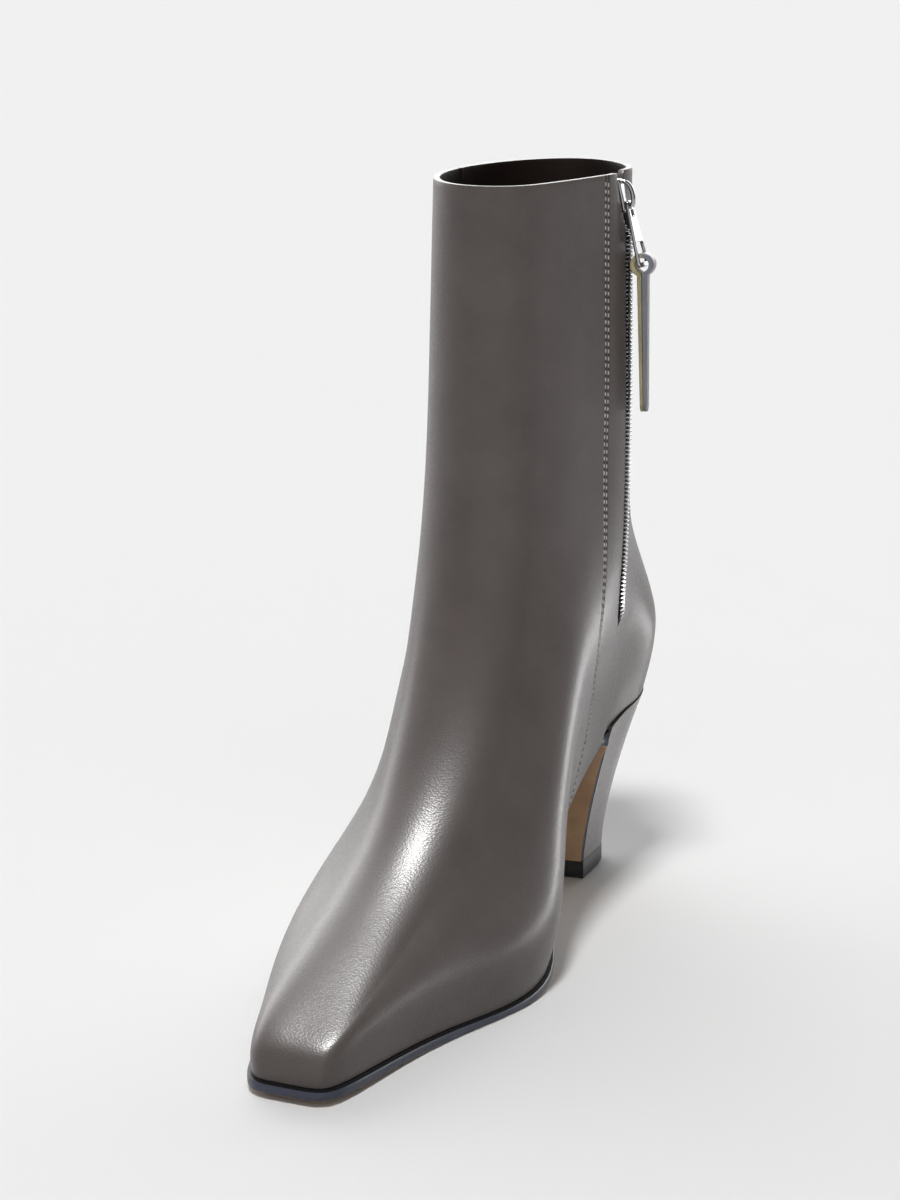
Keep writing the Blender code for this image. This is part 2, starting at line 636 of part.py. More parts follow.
def build_zip_link(material, collection, cutters, hinge):
    top = LINK_BAR / 2
    head, tail = LINK_TOP_WIDTH / 2, LINK_FOOT_WIDTH / 2
    foot = top - LINK_LENGTH
    edge = rounded([(head, top), (-head, top), (-tail, foot), (tail, foot)], 1.8 * MM)
    link = add_object("zip_link", prism("zip_link", edge, LINK_THICKNESS / 2), material, collection)
    link.parent = hinge
    link.rotation_euler = (-LINK_LEAN, 0.0, 0.0)
    for name, start, length, width in (
        ("link_eye", LINK_BAR, LINK_EYE_LENGTH, LINK_EYE_WIDTH),
        ("link_slot", LINK_LENGTH - LINK_FOOT_BAR - LINK_SLOT_LENGTH, LINK_SLOT_LENGTH, LINK_SLOT_WIDTH),
    ):
        half, first, last = width / 2, top - start, top - start - length
        hole = rounded([(half, first), (-half, first), (-half, last), (half, last)], 1.2 * MM)
        shape_with(link, name, prism(name, hole, 2 * LINK_THICKNESS), "DIFFERENCE", cutters)
    return link


def build_pull_strap(material, collection, cutters, hinge):
    """In its own frame the strap's local X points out of the upper, Y up and Z across."""
    outer = STRAP_LOOP_RADIUS + STRAP_LAYER
    lap = math.asin(STRAP_LAYER / outer)
    turn = np.linspace(-math.pi / 2 + lap, 1.5 * math.pi - lap, 28)
    loop = [(outer * math.cos(a), outer * math.sin(a)) for a in turn]
    tip = [(-STRAP_TIP_LAYER, -STRAP_LENGTH), (STRAP_TIP_LAYER, -STRAP_LENGTH)]
    strap = add_object("pull_strap", prism("pull_strap", loop + tip, STRAP_WIDTH / 2), material, collection)
    strap.parent = hinge
    bar = LINK_LENGTH - LINK_FOOT_BAR / 2 - LINK_BAR / 2
    seat = Matrix.Translation((0.0, -bar * math.cos(LINK_LEAN), bar * math.sin(LINK_LEAN)))
    plumb = Matrix.Rotation(math.asin(hinge.matrix_world[2][2]), 4, "X")
    strap.matrix_basis = seat @ plumb @ Matrix.Rotation(STRAP_TWIST - math.pi / 2, 4, "Y")
    turn = np.arange(20) * math.pi / 10
    hole = [(STRAP_LOOP_RADIUS * math.cos(a), STRAP_LOOP_RADIUS * math.sin(a)) for a in turn]
    shape_with(strap, "strap_hole", prism("strap_hole", hole, STRAP_WIDTH), "DIFFERENCE", cutters)

    wide, broad, narrow = STRAP_WIDTH / 2 + MM, STRAP_WIDTH / 2, STRAP_TIP_WIDTH / 2
    start, end = 2 * outer, 0.2 * MM - STRAP_LENGTH
    taper = [(-broad, -outer), (-narrow, end), (narrow, end), (broad, -outer)]
    round_tip = rounded(taper, 2.4 * MM)[5:15]
    tongue = [(wide, start), (-wide, start), taper[0], *round_tip, taper[-1]]
    rings = [[(out, up, across) for across, up in tongue] for out in (-2 * outer, 2 * outer)]
    shape_with(strap, "strap_tongue", loft("strap_tongue", rings), "INTERSECT", cutters)
    return strap


def centre_on_origin(collection):
    """Moves the boot along the floor until the middle of its box is over the origin."""
    bpy.context.view_layer.update()
    graph = bpy.context.evaluated_depsgraph_get()
    points = []
    for obj in collection.objects:
        if obj.type == "MESH":
            shape = obj.evaluated_get(graph)
            points += [shape.matrix_world @ vert.co for vert in shape.data.vertices]
    middle = (np.min(points, axis=0) + np.max(points, axis=0)) / 2
    for obj in collection.objects:
        if obj.parent is None:
            obj.matrix_world = Matrix.Translation((-middle[0], -middle[1], 0.0)) @ obj.matrix_world


def main():
    for obj in list(bpy.data.objects):
        bpy.data.objects.remove(obj)
    boot = bpy.data.collections.new("heeled_ankle_boot")
    cutters = bpy.data.collections.new("cutters")
    for collection in (boot, cutters):
        bpy.context.scene.collection.children.link(collection)
    upper_leather = new_material("upper_leather", (0.115, 0.100, 0.095), 0.35)
    sole_leather = new_material("sole_leather", (0.42, 0.27, 0.15), 0.5)
    lining = new_material("lining_leather", (0.03, 0.022, 0.018), 0.6)
    rubber = new_material("black_rubber", (0.02, 0.02, 0.022), 0.5)
    tape = new_material("tape_fabric", (0.04, 0.038, 0.036), 0.8)
    dark_metal = new_material("chain_metal", (0.12, 0.12, 0.12), 0.35, 1.0)
    chrome = new_material("chrome", (0.75, 0.75, 0.76), 0.12, 1.0)
    build_upper(upper_leather, boot)
    build_outsole(sole_leather, boot)
    build_insole(lining, boot)
    build_heel(upper_leather, boot)
    build_top_piece(rubber, boot)
    build_zip_tape(tape, boot)
    build_zip_chain(dark_metal, boot)
    place = slider_frame()
    build_zip_slider(chrome, boot, cutters, place)
    hinge = bpy.data.objects.new("zip_pull_hinge", None)  # its X axis is the hinge
    boot.objects.link(hinge)
    hinge.matrix_world = place @ Matrix.Translation((0.0, HINGE_UP, HINGE_OUT))
    build_zip_link(chrome, boot, cutters, hinge)
    build_pull_strap(upper_leather, boot, cutters, hinge)
    centre_on_origin(boot)


main()
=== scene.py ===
"""Heeled ankle boot for the right foot, dressed: the last's surface at full detail, its seams and stitching,
the zip's teeth and pull, leather, metal and lining materials, a pale studio and the camera.

Metres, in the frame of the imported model: toe to -Y, medial (inner) side to +X, +Z up. The last is drawn in
its own frame, in the same named sizes as the part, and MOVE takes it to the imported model's.
"""

import math

import bmesh
import bpy
import numpy as np
from mathutils import Matrix, Vector


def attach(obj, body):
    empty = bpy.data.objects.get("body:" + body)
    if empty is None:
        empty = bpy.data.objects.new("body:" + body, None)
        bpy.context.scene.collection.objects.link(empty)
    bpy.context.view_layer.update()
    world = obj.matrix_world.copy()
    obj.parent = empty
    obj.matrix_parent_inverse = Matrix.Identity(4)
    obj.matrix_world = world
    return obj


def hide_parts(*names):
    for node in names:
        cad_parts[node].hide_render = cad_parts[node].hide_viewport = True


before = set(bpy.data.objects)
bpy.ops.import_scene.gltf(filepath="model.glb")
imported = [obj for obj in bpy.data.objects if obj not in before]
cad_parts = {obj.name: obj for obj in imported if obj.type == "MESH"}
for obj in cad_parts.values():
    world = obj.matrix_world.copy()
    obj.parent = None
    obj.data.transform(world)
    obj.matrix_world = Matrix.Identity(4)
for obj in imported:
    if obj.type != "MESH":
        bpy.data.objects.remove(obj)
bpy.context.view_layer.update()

MM = 0.001
MOVE = np.array([3.273, 4.160, 0.0]) * MM  # from the last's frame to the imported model's

# Driving sizes, as in the part
WALL = 2.0 * MM
SOLE_THICKNESS = 3.2 * MM
WAIST_THICKNESS = 2.6 * MM
FLAP_THICKNESS = 1.4 * MM
SOLE_LEDGE = 1.2 * MM
WAIST_TUCK = 0.8 * MM
INSOLE_THICKNESS = 2.4 * MM
INSOLE_INSET = 1.1 * MM
TOP_PIECE_HEIGHT = 6.3 * MM
TOP_PIECE_HALF_WIDTH = 14.3 * MM
TOP_PIECE_LENGTH = 31.5 * MM
HEEL_AXIS_X = -2.5 * MM
HEEL_ROUNDNESS = 4.0
HEEL_HOLLOW = 1.4
BREAST_TOP_Y = 84.0 * MM
BREAST_FOOT_Y = 85.0 * MM

# Finer sizes of sole and heel
JOINT = 0.25 * MM  # dark line between pieces that meet
SEAT_LEDGE = 0.3 * MM
FLAP_INSET = 0.2 * MM
FLAP_BEND = 7.0 * MM  # how far from the breast's top the sole starts and ends its bend
BREAST_SLOPE = 0.42  # rise of the underside where the flap begins
LEVEL_EDGE_Y = -60.0 * MM  # ahead of this the sole's edge stands upright
TUCK_Y = (-25.0 * MM, 35.0 * MM)  # where the ledge turns into the waist's tuck
THINNING_Y = (-10.0 * MM, 40.0 * MM)  # where the sole thins to the waist's thickness
INSOLE_LIFT = 0.1 * MM

# Rows round the last, from the toe along one side to the heel
STATION_COLUMNS = ("along", "lag", "medial", "lateral", "sole_z", "oval_deg", "flat")
STATIONS = {
    "toe_centre": (0.006, 0.000, 0.0, 0.0, 5.2, 0, 1.00),
    "toe_flat": (0.000, 0.008, 8.5, 8.0, 5.2, 16, 1.00),
    "toe_corner": (0.010, 0.014, 13.5, 14.0, 5.1, 32, 0.90),
    "toe_side": (0.110, 0.014, 17.0, 21.0, 4.2, 47, 0.80),
    "ball_front": (0.260, 0.020, 23.5, 35.0, 3.2, 62, 0.79),
    "ball": (0.440, 0.025, 44.0, 46.5, 2.0, 76, 0.83),
    "waist": (0.630, 0.015, 15.0, 37.0, 19.5, 90, 0.93),
    "seat_front": (0.862, 0.000, 20.0, 30.5, 54.5, 104, 1.05),
    "heel_side": (0.925, 0.000, 26.0, 30.0, 58.6, 124, 1.04),
    "heel_quarter": (0.972, 0.000, 24.5, 27.0, 61.6, 144, 1.00),
    "heel_round": (1.000, 0.000, 14.0, 17.0, 63.0, 162, 1.00),
    "heel_back": (1.006, 0.000, -2.0, 2.0, 63.5, 180, 1.00),
}

# Level loops of the upper's cage, from the sole to the collar, in millimetres
LEVEL_COLUMNS = (
    "front_y", "front_z", "back_y", "back_z", "half_width", "share", "follow", "girth", "ridge_x", "shift_x",
)
LEVELS = {
    "feather": (-140.0, 5.2, 119.5, 63.5, 30.0, 1.00, 1.0, 1.00, 0.0, 0.0),
    "wall": (-141.5, 11.0, 126.5, 73.0, 32.0, 1.00, 1.0, 1.04, 0.0, 0.3),
    "toe_top": (-137.5, 19.5, 132.0, 88.0, 34.0, 0.92, 1.0, 1.05, 0.0, 1.4),
    "vamp_low": (-103.0, 30.0, 131.0, 104.0, 32.0, 0.55, 1.0, 0.92, 2.0, 1.6),
    "vamp_mid": (-58.0, 45.0, 124.5, 120.0, 30.5, 0.25, 0.9, 0.80, 3.2, 1.0),
    "instep": (-18.0, 71.0, 118.5, 138.0, 30.5, 0.08, 0.6, 0.80, 2.8, -0.8),
    "throat": (6.5, 106.0, 116.0, 157.0, 30.0, 0.00, 0.2, 0.80, 2.0, -2.0),
    "shaft_low": (17.5, 146.0, 117.0, 180.0, 29.8, 0.00, 0.0, 0.80, 1.0, -2.2),
    "shaft_mid": (20.0, 190.0, 120.0, 208.0, 29.0, 0.00, 0.0, 0.80, 0.0, -2.2),
    "collar": (21.0, 234.0, 122.0, 234.0, 28.3, 0.00, 0.0, 0.80, 0.0, -2.2),
}
HALF_TURN = len(STATIONS) - 1
TURN = 2 * HALF_TURN
COLLAR_U = len(LEVELS) - 1

# Front panel's edge, zip slot and the dent at the collar
EDGE_COLLAR_V = 6.7
EDGE_SOLE_V = 7.06
EDGE_BEND_U = (4.5, 8.0)  # where the edge passes from one v to the other
SLOT_FOOT_U = 3.4
SLOT_WIDTH = 6.0 * MM
LAP_STEP = 0.8 * MM
LAP_FADE_V = 1.2
LAP_FADE_U = 0.6
DENT_DEPTH = 3.6 * MM
DENT_V = EDGE_COLLAR_V + 0.23
DENT_REACH_V = 0.55
DENT_FOOT_U = COLLAR_U - 0.65

# The double row of stitching on the front panel: u and v of the line midway between its rows
STITCH_LINE = {
    "sole": (0.0, 6.45),
    "waist": (2.0, 6.50),
    "zip_foot": (3.75, 6.38),
    "ankle": (4.62, 6.25),
    "throat": (5.6, 5.99),
    "shaft": (6.3, 5.80),
    "shaft_top": (7.5, 5.74),
    "collar": (9.0, 5.73),
}
STITCH_ROWS_APART = 1.7 * MM
STITCH_PITCH = 2.25 * MM
STITCH_LENGTH = 1.45 * MM
STITCH_RADIUS = 0.29 * MM
STITCH_GROOVE, STITCH_GROOVE_REACH = 0.22 * MM, 0.42 * MM

# The plain seam on the lateral side
SEAM_V = 15.61
SEAM_GROOVE, SEAM_GROOVE_REACH = 0.40 * MM, 0.35 * MM
SEAM_SAG, SEAM_SAG_REACH = 0.14 * MM, 1.6 * MM  # the wider hollow round the groove

# Soft troughs (depth above 0) and ridges (below 0) of the worked leather: centre u and v, reach in u and v,
# how much the long axis leans (v per u), and depth in millimetres
SOFT_FORMS = {
    "ankle_bend_medial": (5.1, 4.4, 0.45, 1.6, 0.0, 0.15),
    "ankle_bend_lateral": (5.0, 17.6, 0.40, 1.8, 0.0, 0.40),
    "ankle_ridge_lateral": (4.5, 17.8, 0.35, 1.7, 0.0, -0.25),
    "shaft_fold_front": (6.9, 2.8, 0.70, 0.8, 0.5, 0.20),
    "shaft_fold_back": (6.3, 11.3, 0.55, 1.5, 0.0, 0.6),
    "vamp_round_medial": (3.1, 3.85, 1.15, 0.95, 0.15, -2.2),
    "ball_round_medial": (2.1, 4.2, 0.95, 0.75, 0.4, -0.5),
    "instep_round_medial": (5.1, 4.2, 0.90, 1.15, 0.2, -0.6),
    "shaft_round_medial": (7.2, 4.1, 1.60, 1.30, 0.0, -0.9),
    "vamp_crest_lower": (4.0, 1.2, 0.90, 1.7, 0.0, 1.6),
    "toe_top_lower": (2.3, 0.6, 0.90, 2.3, 0.0, 2.2),
    "toe_shoulder_lower": (3.2, 2.2, 1.10, 1.1, 0.0, 1.9),
    "counter_hollow": (2.4, 8.6, 0.6, 0.9, 0.0, 0.4),
}


def station(name):
    index = STATION_COLUMNS.index(name)
    return np.array([row[index] for row in STATIONS.values()], float)


def smooth_through(x, xs, ys):
    """A smooth curve through the points (xs, ys), read at x."""
    slopes = np.gradient(ys, xs)
    k = np.clip(np.searchsorted(xs, x) - 1, 0, len(xs) - 2)
    step = xs[k + 1] - xs[k]
    t = np.clip((x - xs[k]) / step, 0.0, 1.0)
    rise = ys[k] * (1 + 2 * t) * (1 - t) ** 2 + ys[k + 1] * t**2 * (3 - 2 * t)
    return rise + step * t * (1 - t) * (slopes[k] * (1 - t) - slopes[k + 1] * t)


def eased(x, start, end):
    """0 up to start, 1 from end on, smooth between."""
    t = np.clip((x - start) / (end - start), 0, 1)
    return t * t * (3 - 2 * t)


def bell(x, reach):
    """1 at 0 and next to nothing from twice the reach on."""
    return np.exp(-((x / reach) ** 2))


def unit(rows):
    """Vectors scaled to length 1."""
    return rows / np.linalg.norm(rows, axis=-1, keepdims=True)


def run_along(line):
    """How far it is along a line to each of its points."""
    return np.concatenate([[0], np.cumsum(np.linalg.norm(np.diff(line, axis=0), axis=1))])


def rightward(steps):
    """The level way to the right of each step of a line."""
    return unit(np.stack([steps[:, 1], -steps[:, 0], 0 * steps[:, 0]], -1))


def paired(u, v):
    """u and v as arrays of one shape."""
    return np.broadcast_arrays(np.atleast_1d(u).astype(float), np.atleast_1d(v).astype(float))


def sole_cage_height(y):
    feather = dict(zip(LEVEL_COLUMNS, LEVELS["feather"]))
    along = (station("along") + station("lag") / 2)[1:]
    ys = feather["front_y"] + along * (feather["back_y"] - feather["front_y"])
    return smooth_through(y, ys, station("sole_z")[1:])


def cage_loop(level):
    """One level of the cage: the medial rows from toe to heel, then the lateral rows back to the toe."""
    size = dict(zip(LEVEL_COLUMNS, level))
    share, follow = size["share"], size["follow"]
    angle = np.radians(station("oval_deg"))
    oval = (1 - share) * size["half_width"] * np.sin(angle)
    front_rise = size["front_z"] - sole_cage_height(size["front_y"])
    back_rise = size["back_z"] - sole_cage_height(size["back_y"])
    rows = []
    for sign, side, lag, flat in ((1, "medial", 0, station("flat")), (-1, "lateral", 1, 1.0)):
        along = share * (station("along") + lag * station("lag")) + (1 - share) * (1 - np.cos(angle)) / 2
        y = size["front_y"] + along * (size["back_y"] - size["front_y"])
        line = size["front_z"] + along * (size["back_z"] - size["front_z"])
        over_sole = sole_cage_height(y) + front_rise + along * (back_rise - front_rise)
        lean = size["ridge_x"] * (1 - along) + size["shift_x"]
        x = lean + sign * (share * size["girth"] * station(side) + flat * oval)
        rows.append(np.stack([x, y, follow * over_sole + (1 - follow) * line], -1))
    return np.concatenate([rows[0], rows[1][-2:0:-1]]) * MM


CAGE = np.stack([cage_loop(level) for level in LEVELS.values()])


def cubic_weights(t):
    """The four weights of a uniform cubic B-spline at t from 0 to 1."""
    return np.stack([(1 - t) ** 3, 3 * t**3 - 6 * t**2 + 4, -3 * t**3 + 3 * t**2 + 3 * t + 1, t**3], -1) / 6


def closed_weights(v):
    whole = np.floor(v).astype(int)
    weights = np.zeros((len(v), TURN))
    for k, weight in enumerate(cubic_weights(v - whole).T):
        np.add.at(weights, (np.arange(len(v)), (whole + k - 1) % TURN), weight)
    return weights


def open_weights(u):
    """As closed_weights, for the levels: mirrored levels past the ends bring the surface to the ends."""
    count = COLLAR_U + 1
    whole = np.clip(np.floor(u).astype(int), 0, count - 2)
    weights = np.zeros((len(u), count + 2))
    for k, weight in enumerate(cubic_weights(u - whole).T):
        weights[np.arange(len(u)), whole + k] += weight
    inner = weights[:, 1:-1].copy()
    for end, neighbour, mirrored in ((0, 1, weights[:, 0]), (-1, -2, weights[:, -1])):
        inner[:, end] += 2 * mirrored
        inner[:, neighbour] -= mirrored
    return inner


def last_point(u, v):
    """Points of the last's outer surface at matching lists of u (sole to collar) and v (round the boot)."""
    u, v = paired(u, v)
    flat = np.einsum("nr,rcx,nc->nx", open_weights(u.ravel()), CAGE, closed_weights(v.ravel()))
    return flat.reshape(*u.shape, 3)


def last_normal(u, v, reach=0.02):
    u, v = paired(u, v)
    up = last_point(np.minimum(u + reach, COLLAR_U), v) - last_point(np.maximum(u - reach, 0), v)
    round_ = last_point(u, v + reach) - last_point(u, v - reach)
    return unit(np.cross(round_, up))


def metres_per_v(u, v):
    """How long one unit of v is on the surface."""
    return np.linalg.norm(last_point(u, v + 0.05) - last_point(u, v - 0.05), axis=-1) / 0.1


def away_from(line_v, u, v):
    """How far a point lies from a line at line_v, along v."""
    return (v - line_v) * metres_per_v(u, line_v)


def beside(line_v, u, millimetres):
    """v at distances, in millimetres, from a line at line_v."""
    return line_v + np.array(millimetres) * MM / metres_per_v(u, line_v)


def edge_v(u):
    """v of the front panel's edge, which is the slot's front edge above the zip's foot."""
    return EDGE_SOLE_V + (EDGE_COLLAR_V - EDGE_SOLE_V) * eased(u, *EDGE_BEND_U)


def slot_rear_v(u):
    front = edge_v(u)
    span = np.linalg.norm(last_point(u, front + 0.5) - last_point(u, front), axis=-1)
    return front + 0.5 * SLOT_WIDTH / span


def stitch_v(u):
    us, vs = np.array(list(STITCH_LINE.values())).T
    return smooth_through(np.atleast_1d(u).astype(float), us, vs)


def lap_depth(u, v):
    """How far the quarter lies below the front panel under the zip: a crisp step that fades to the heel."""
    edge = edge_v(u)
    past = away_from(edge, u, v)
    over = np.clip((v - edge) / LAP_FADE_V, 0, 1)
    fade = (1 - over) ** 2 * (1 + 2 * over)
    step = np.interp(past / MM, [-0.7, -0.3, 0.0, 0.25, 0.8], [0.0, 0.10, 0.45, 1.25, 1.0])
    step = np.where(v < edge + LAP_FADE_V, step * fade, 0.0)
    return LAP_STEP * step * np.clip((SLOT_FOOT_U - u) / LAP_FADE_U, 0, 1)


def dent_depth(u, v):
    """How far the upper is drawn in beside the top of the zip."""
    return DENT_DEPTH * eased(u, DENT_FOOT_U, COLLAR_U) * bell(v - DENT_V, DENT_REACH_V)


def groove_depth(u, v):
    """Grooves under the stitches and along the lateral seam."""
    depth = np.zeros(np.broadcast(u, v).shape)
    for side in (-0.5, 0.5):
        away = away_from(stitch_v(u), u, v) - side * STITCH_ROWS_APART
        depth = depth + STITCH_GROOVE * bell(away, STITCH_GROOVE_REACH)
    away = away_from(SEAM_V, u, v)
    return depth + SEAM_GROOVE * bell(away, SEAM_GROOVE_REACH) + SEAM_SAG * bell(away, SEAM_SAG_REACH)


def soft_depth(u, v):
    """The soft troughs and ridges."""
    depth = 0.0
    for middle_u, middle_v, reach_u, reach_v, lean, millimetres in SOFT_FORMS.values():
        along = u - middle_u
        across = (v - middle_v - lean * along + HALF_TURN) % TURN - HALF_TURN
        depth = depth + millimetres * MM * bell(along, reach_u) * bell(across, reach_v)
    return depth


def upper_point(u, v, depth=0.0, detail=False):
    """Points at a depth below the upper's outer face, in the last's frame."""
    u, v = paired(u, v)
    below = depth + lap_depth(u, v) + dent_depth(u, v)
    if detail:
        below = below + groove_depth(u, v) + soft_depth(u, v)
    return last_point(u, v) - last_normal(u, v) * below[..., None]


# The line where upper and sole meet
FEATHER_V = np.linspace(0, TURN, 40 * TURN + 1)
FEATHER = last_point(0.0, FEATHER_V)


def feather_moved(offset):
    """The feather line moved outwards in plan by offset(y): its medial and lateral sides, toe to heel."""
    moved = FEATHER + rightward(np.gradient(FEATHER, axis=0)) * offset(FEATHER[:, 1])[:, None]
    heel = len(FEATHER) // 2
    return moved[: heel + 1], moved[heel:][::-1]


def side_at(side, y):
    """x and z of one side of an outline at y."""
    return np.interp(y, side[:, 1], side[:, 0]), np.interp(y, side[:, 1], side[:, 2])


# Materials
def new_material(name, colour, roughness, **sockets):
    """A Principled material; sockets are further constants by name, with _ for a space."""
    material = bpy.data.materials.new(name)
    material.use_nodes = True
    shader = material.node_tree.nodes["Principled BSDF"]
    shader.inputs["Base Color"].default_value = (*colour, 1.0)
    shader.inputs["Roughness"].default_value = roughness
    for socket, value in sockets.items():
        shader.inputs[socket.replace("_", " ")].default_value = value
    return material


def textured(name, colour, roughness, **sockets):
    """As new_material, with its node tree and the object's coordinates for textures."""
    material = new_material(name, colour, roughness, **sockets)
    tree = material.node_tree
    return material, tree, tree.nodes.new("ShaderNodeTexCoord").outputs["Object"]


def feed(tree, **sources):
    """Links sources to the shader's sockets by name, with _ for a space."""
    for socket, source in sources.items():
        tree.links.new(source, tree.nodes["Principled BSDF"].inputs[socket.replace("_", " ")])


def texture(tree, kind, vector, **values):
    """A node that reads a vector, with its constants by name."""
    node = tree.nodes.new("ShaderNode" + kind)
    for socket, value in values.items():
        node.inputs[socket].default_value = value
    tree.links.new(vector, node.inputs["Vector"])
    return node


def noise(tree, vector, scale, detail=3.0, roughness=0.55):
    node = texture(tree, "TexNoise", vector, Scale=scale, Detail=detail, Roughness=roughness)
    return node.outputs["Fac"]


def cells(tree, vector, scale):
    return texture(tree, "TexVoronoi", vector, Scale=scale).outputs["Distance"]


def ramp(tree, factor, stops):
    """A colour ramp over (position, colour) stops."""
    node = tree.nodes.new("ShaderNodeValToRGB")
    elements = node.color_ramp.elements
    while len(elements) < len(stops):
        elements.new(0.5)
    for element, (position, colour) in zip(elements, stops):
        element.position = position
        element.color = (*colour, 1.0)
    tree.links.new(factor, node.inputs["Fac"])
    return node.outputs["Color"]


def spread(tree, factor, low, high, start=0.0, end=1.0, shape="LINEAR"):
    """A factor from start to end mapped on to low to high."""
    node = tree.nodes.new("ShaderNodeMapRange")
    node.interpolation_type = shape
    for socket, value in (("From Min", start), ("From Max", end), ("To Min", low), ("To Max", high)):
        node.inputs[socket].default_value = value
    tree.links.new(factor, node.inputs["Value"])
    return node.outputs["Result"]


def bump(tree, height, distance, strength, before=None):
    node = tree.nodes.new("ShaderNodeBump")
    node.inputs["Distance"].default_value = distance
    node.inputs["Strength"].default_value = strength
    tree.links.new(height, node.inputs["Height"])
    if before is not None:
        tree.links.new(before, node.inputs["Normal"])
    return node.outputs["Normal"]


def scaled(colour, factor):
    return tuple(channel * factor for channel in colour)


def darkened(tree, tint, attribute, dark):
    """A colour drawn towards a dark one where a mesh attribute is high."""
    shade = tree.nodes.new("ShaderNodeAttribute")
    shade.attribute_name = attribute
    mix = tree.nodes.new("ShaderNodeMix")
    mix.data_type = "RGBA"
    tree.links.new(shade.outputs["Fac"], mix.inputs["Factor"])
    tree.links.new(tint, mix.inputs["A"])
    mix.inputs["B"].default_value = (*dark, 1.0)
    return mix.outputs["Result"]


COAT = {"Coat_Roughness": 0.25, "Coat_IOR": 1.30}


def leather(name, colour, roughness, grain=0.6, variation=0.12, coat=0.0, painted_shade=False, ior=1.27):
    """Smooth finished leather: fine pebble grain, pores, slow colour and gloss changes, and, if asked,
    painted shade read from a mesh attribute.
    """
    material, tree, place = textured(name, colour, roughness, IOR=ior, Coat_Weight=coat, **COAT)
    slow = noise(tree, place, 38.0, 4.0, 0.6)
    light, dark = scaled(colour, 1 + variation), scaled(colour, 1 - variation)
    tint = ramp(tree, slow, [(0.30, dark), (0.52, colour), (0.74, light)])
    # painted shade in the stitches' holes, the seams' creases and along the panel's edge
    if painted_shade:
        tint = darkened(tree, tint, "painted_seam_shade", scaled(colour, 0.16))
    gloss = noise(tree, place, 900.0, 3.0, 0.65)
    uneven = spread(tree, gloss, roughness - 0.06, roughness + 0.09, 0.3, 0.7)
    pebble = bump(tree, cells(tree, place, 1500.0), 0.10 * MM, 0.75 * grain)
    pores = bump(tree, noise(tree, place, 5200.0, 2.0), 0.05 * MM, 0.60 * grain, pebble)
    drape = bump(tree, noise(tree, place, 120.0, 3.0), 0.5 * MM, 0.06 * grain, pores)
    feed(tree, Base_Color=tint, Roughness=uneven, Normal=drape, Coat_Normal=drape)
    return material


UPPER_COLOUR = (0.088, 0.0735, 0.0695)
UPPER_LEATHER = leather("upper_leather", UPPER_COLOUR, 0.50, grain=0.5, coat=0.45, painted_shade=True)
COVER_LEATHER = leather("heel_cover_leather", UPPER_COLOUR, 0.40, grain=0.5, coat=0.8, ior=1.5)
LINING = leather("lining_leather", (0.020, 0.013, 0.011), 0.58, grain=0.8)
SOLE_EDGE = leather("sole_edge_dye", (0.050, 0.055, 0.078), 0.36, grain=0.3, coat=0.2)
# black along the top of the sole's edge: edge ink, with painted shade of the joint under the upper
SOLE_INK_AND_SHADE = leather("sole_edge_ink_and_shade", (0.010, 0.010, 0.011), 0.5, grain=0.3)
RAW_EDGE = leather("raw_edge_leather", (0.34, 0.30, 0.175), 0.62, grain=1.0, variation=0.3)
STRAP_EDGE = leather("strap_edge_dye", (0.19, 0.20, 0.235), 0.42, grain=0.4)
STRAP_LEATHER = leather("strap_leather", UPPER_COLOUR, 0.36, grain=0.6, coat=0.45)
THREAD = new_material("stitch_thread", (0.40, 0.38, 0.36), 0.55)


def tan_sole():
    """Polished tan sole leather: darker clouds, fibres along the walk and fine pores."""
    coat = {"Coat_Weight": 0.15, "Coat_Roughness": 0.3}
    material, tree, place = textured("sole_leather", (0.36, 0.22, 0.125), 0.42, **coat)
    clouds = noise(tree, place, 55.0, 5.0, 0.62)
    dark, middle, light = (0.27, 0.160, 0.088), (0.36, 0.225, 0.130), (0.43, 0.28, 0.17)
    tint = ramp(tree, clouds, [(0.3, dark), (0.55, middle), (0.75, light)])
    stretch = texture(tree, "Mapping", place, Scale=(1.0, 0.12, 0.3))
    fibres = noise(tree, stretch.outputs["Vector"], 2600.0, 3.0, 0.6)
    uneven = spread(tree, fibres, 0.34, 0.52, 0.3, 0.7)
    relief = bump(tree, fibres, 0.06 * MM, 0.35)
    pores = bump(tree, noise(tree, place, 1500.0), 0.08 * MM, 0.3, relief)
    feed(tree, Base_Color=tint, Roughness=uneven, Normal=pores)
    return material


def black_rubber():
    material, tree, place = textured("black_rubber", (0.014, 0.014, 0.016), 0.6)
    dark, light = (0.011, 0.011, 0.013), (0.019, 0.019, 0.021)
    tint = ramp(tree, noise(tree, place, 160.0), [(0.35, dark), (0.7, light)])
    feed(tree, Base_Color=tint, Normal=bump(tree, noise(tree, place, 2400.0, 4.0), 0.08 * MM, 0.5))
    return material


def metal(name, colour, roughness):
    """Plated metal with a fine polish grain and faint handling marks."""
    material, tree, place = textured(name, colour, roughness, Metallic=1.0)
    marks = noise(tree, place, 700.0, 4.0, 0.7)
    uneven = spread(tree, marks, roughness * 0.7, roughness * 1.6, 0.3, 0.7)
    tint = ramp(tree, noise(tree, place, 260.0), [(0.3, scaled(colour, 0.85)), (0.7, colour)])
    polish = bump(tree, noise(tree, place, 3000.0), 0.02 * MM, 0.25)
    feed(tree, Base_Color=tint, Roughness=uneven, Normal=polish)
    return material


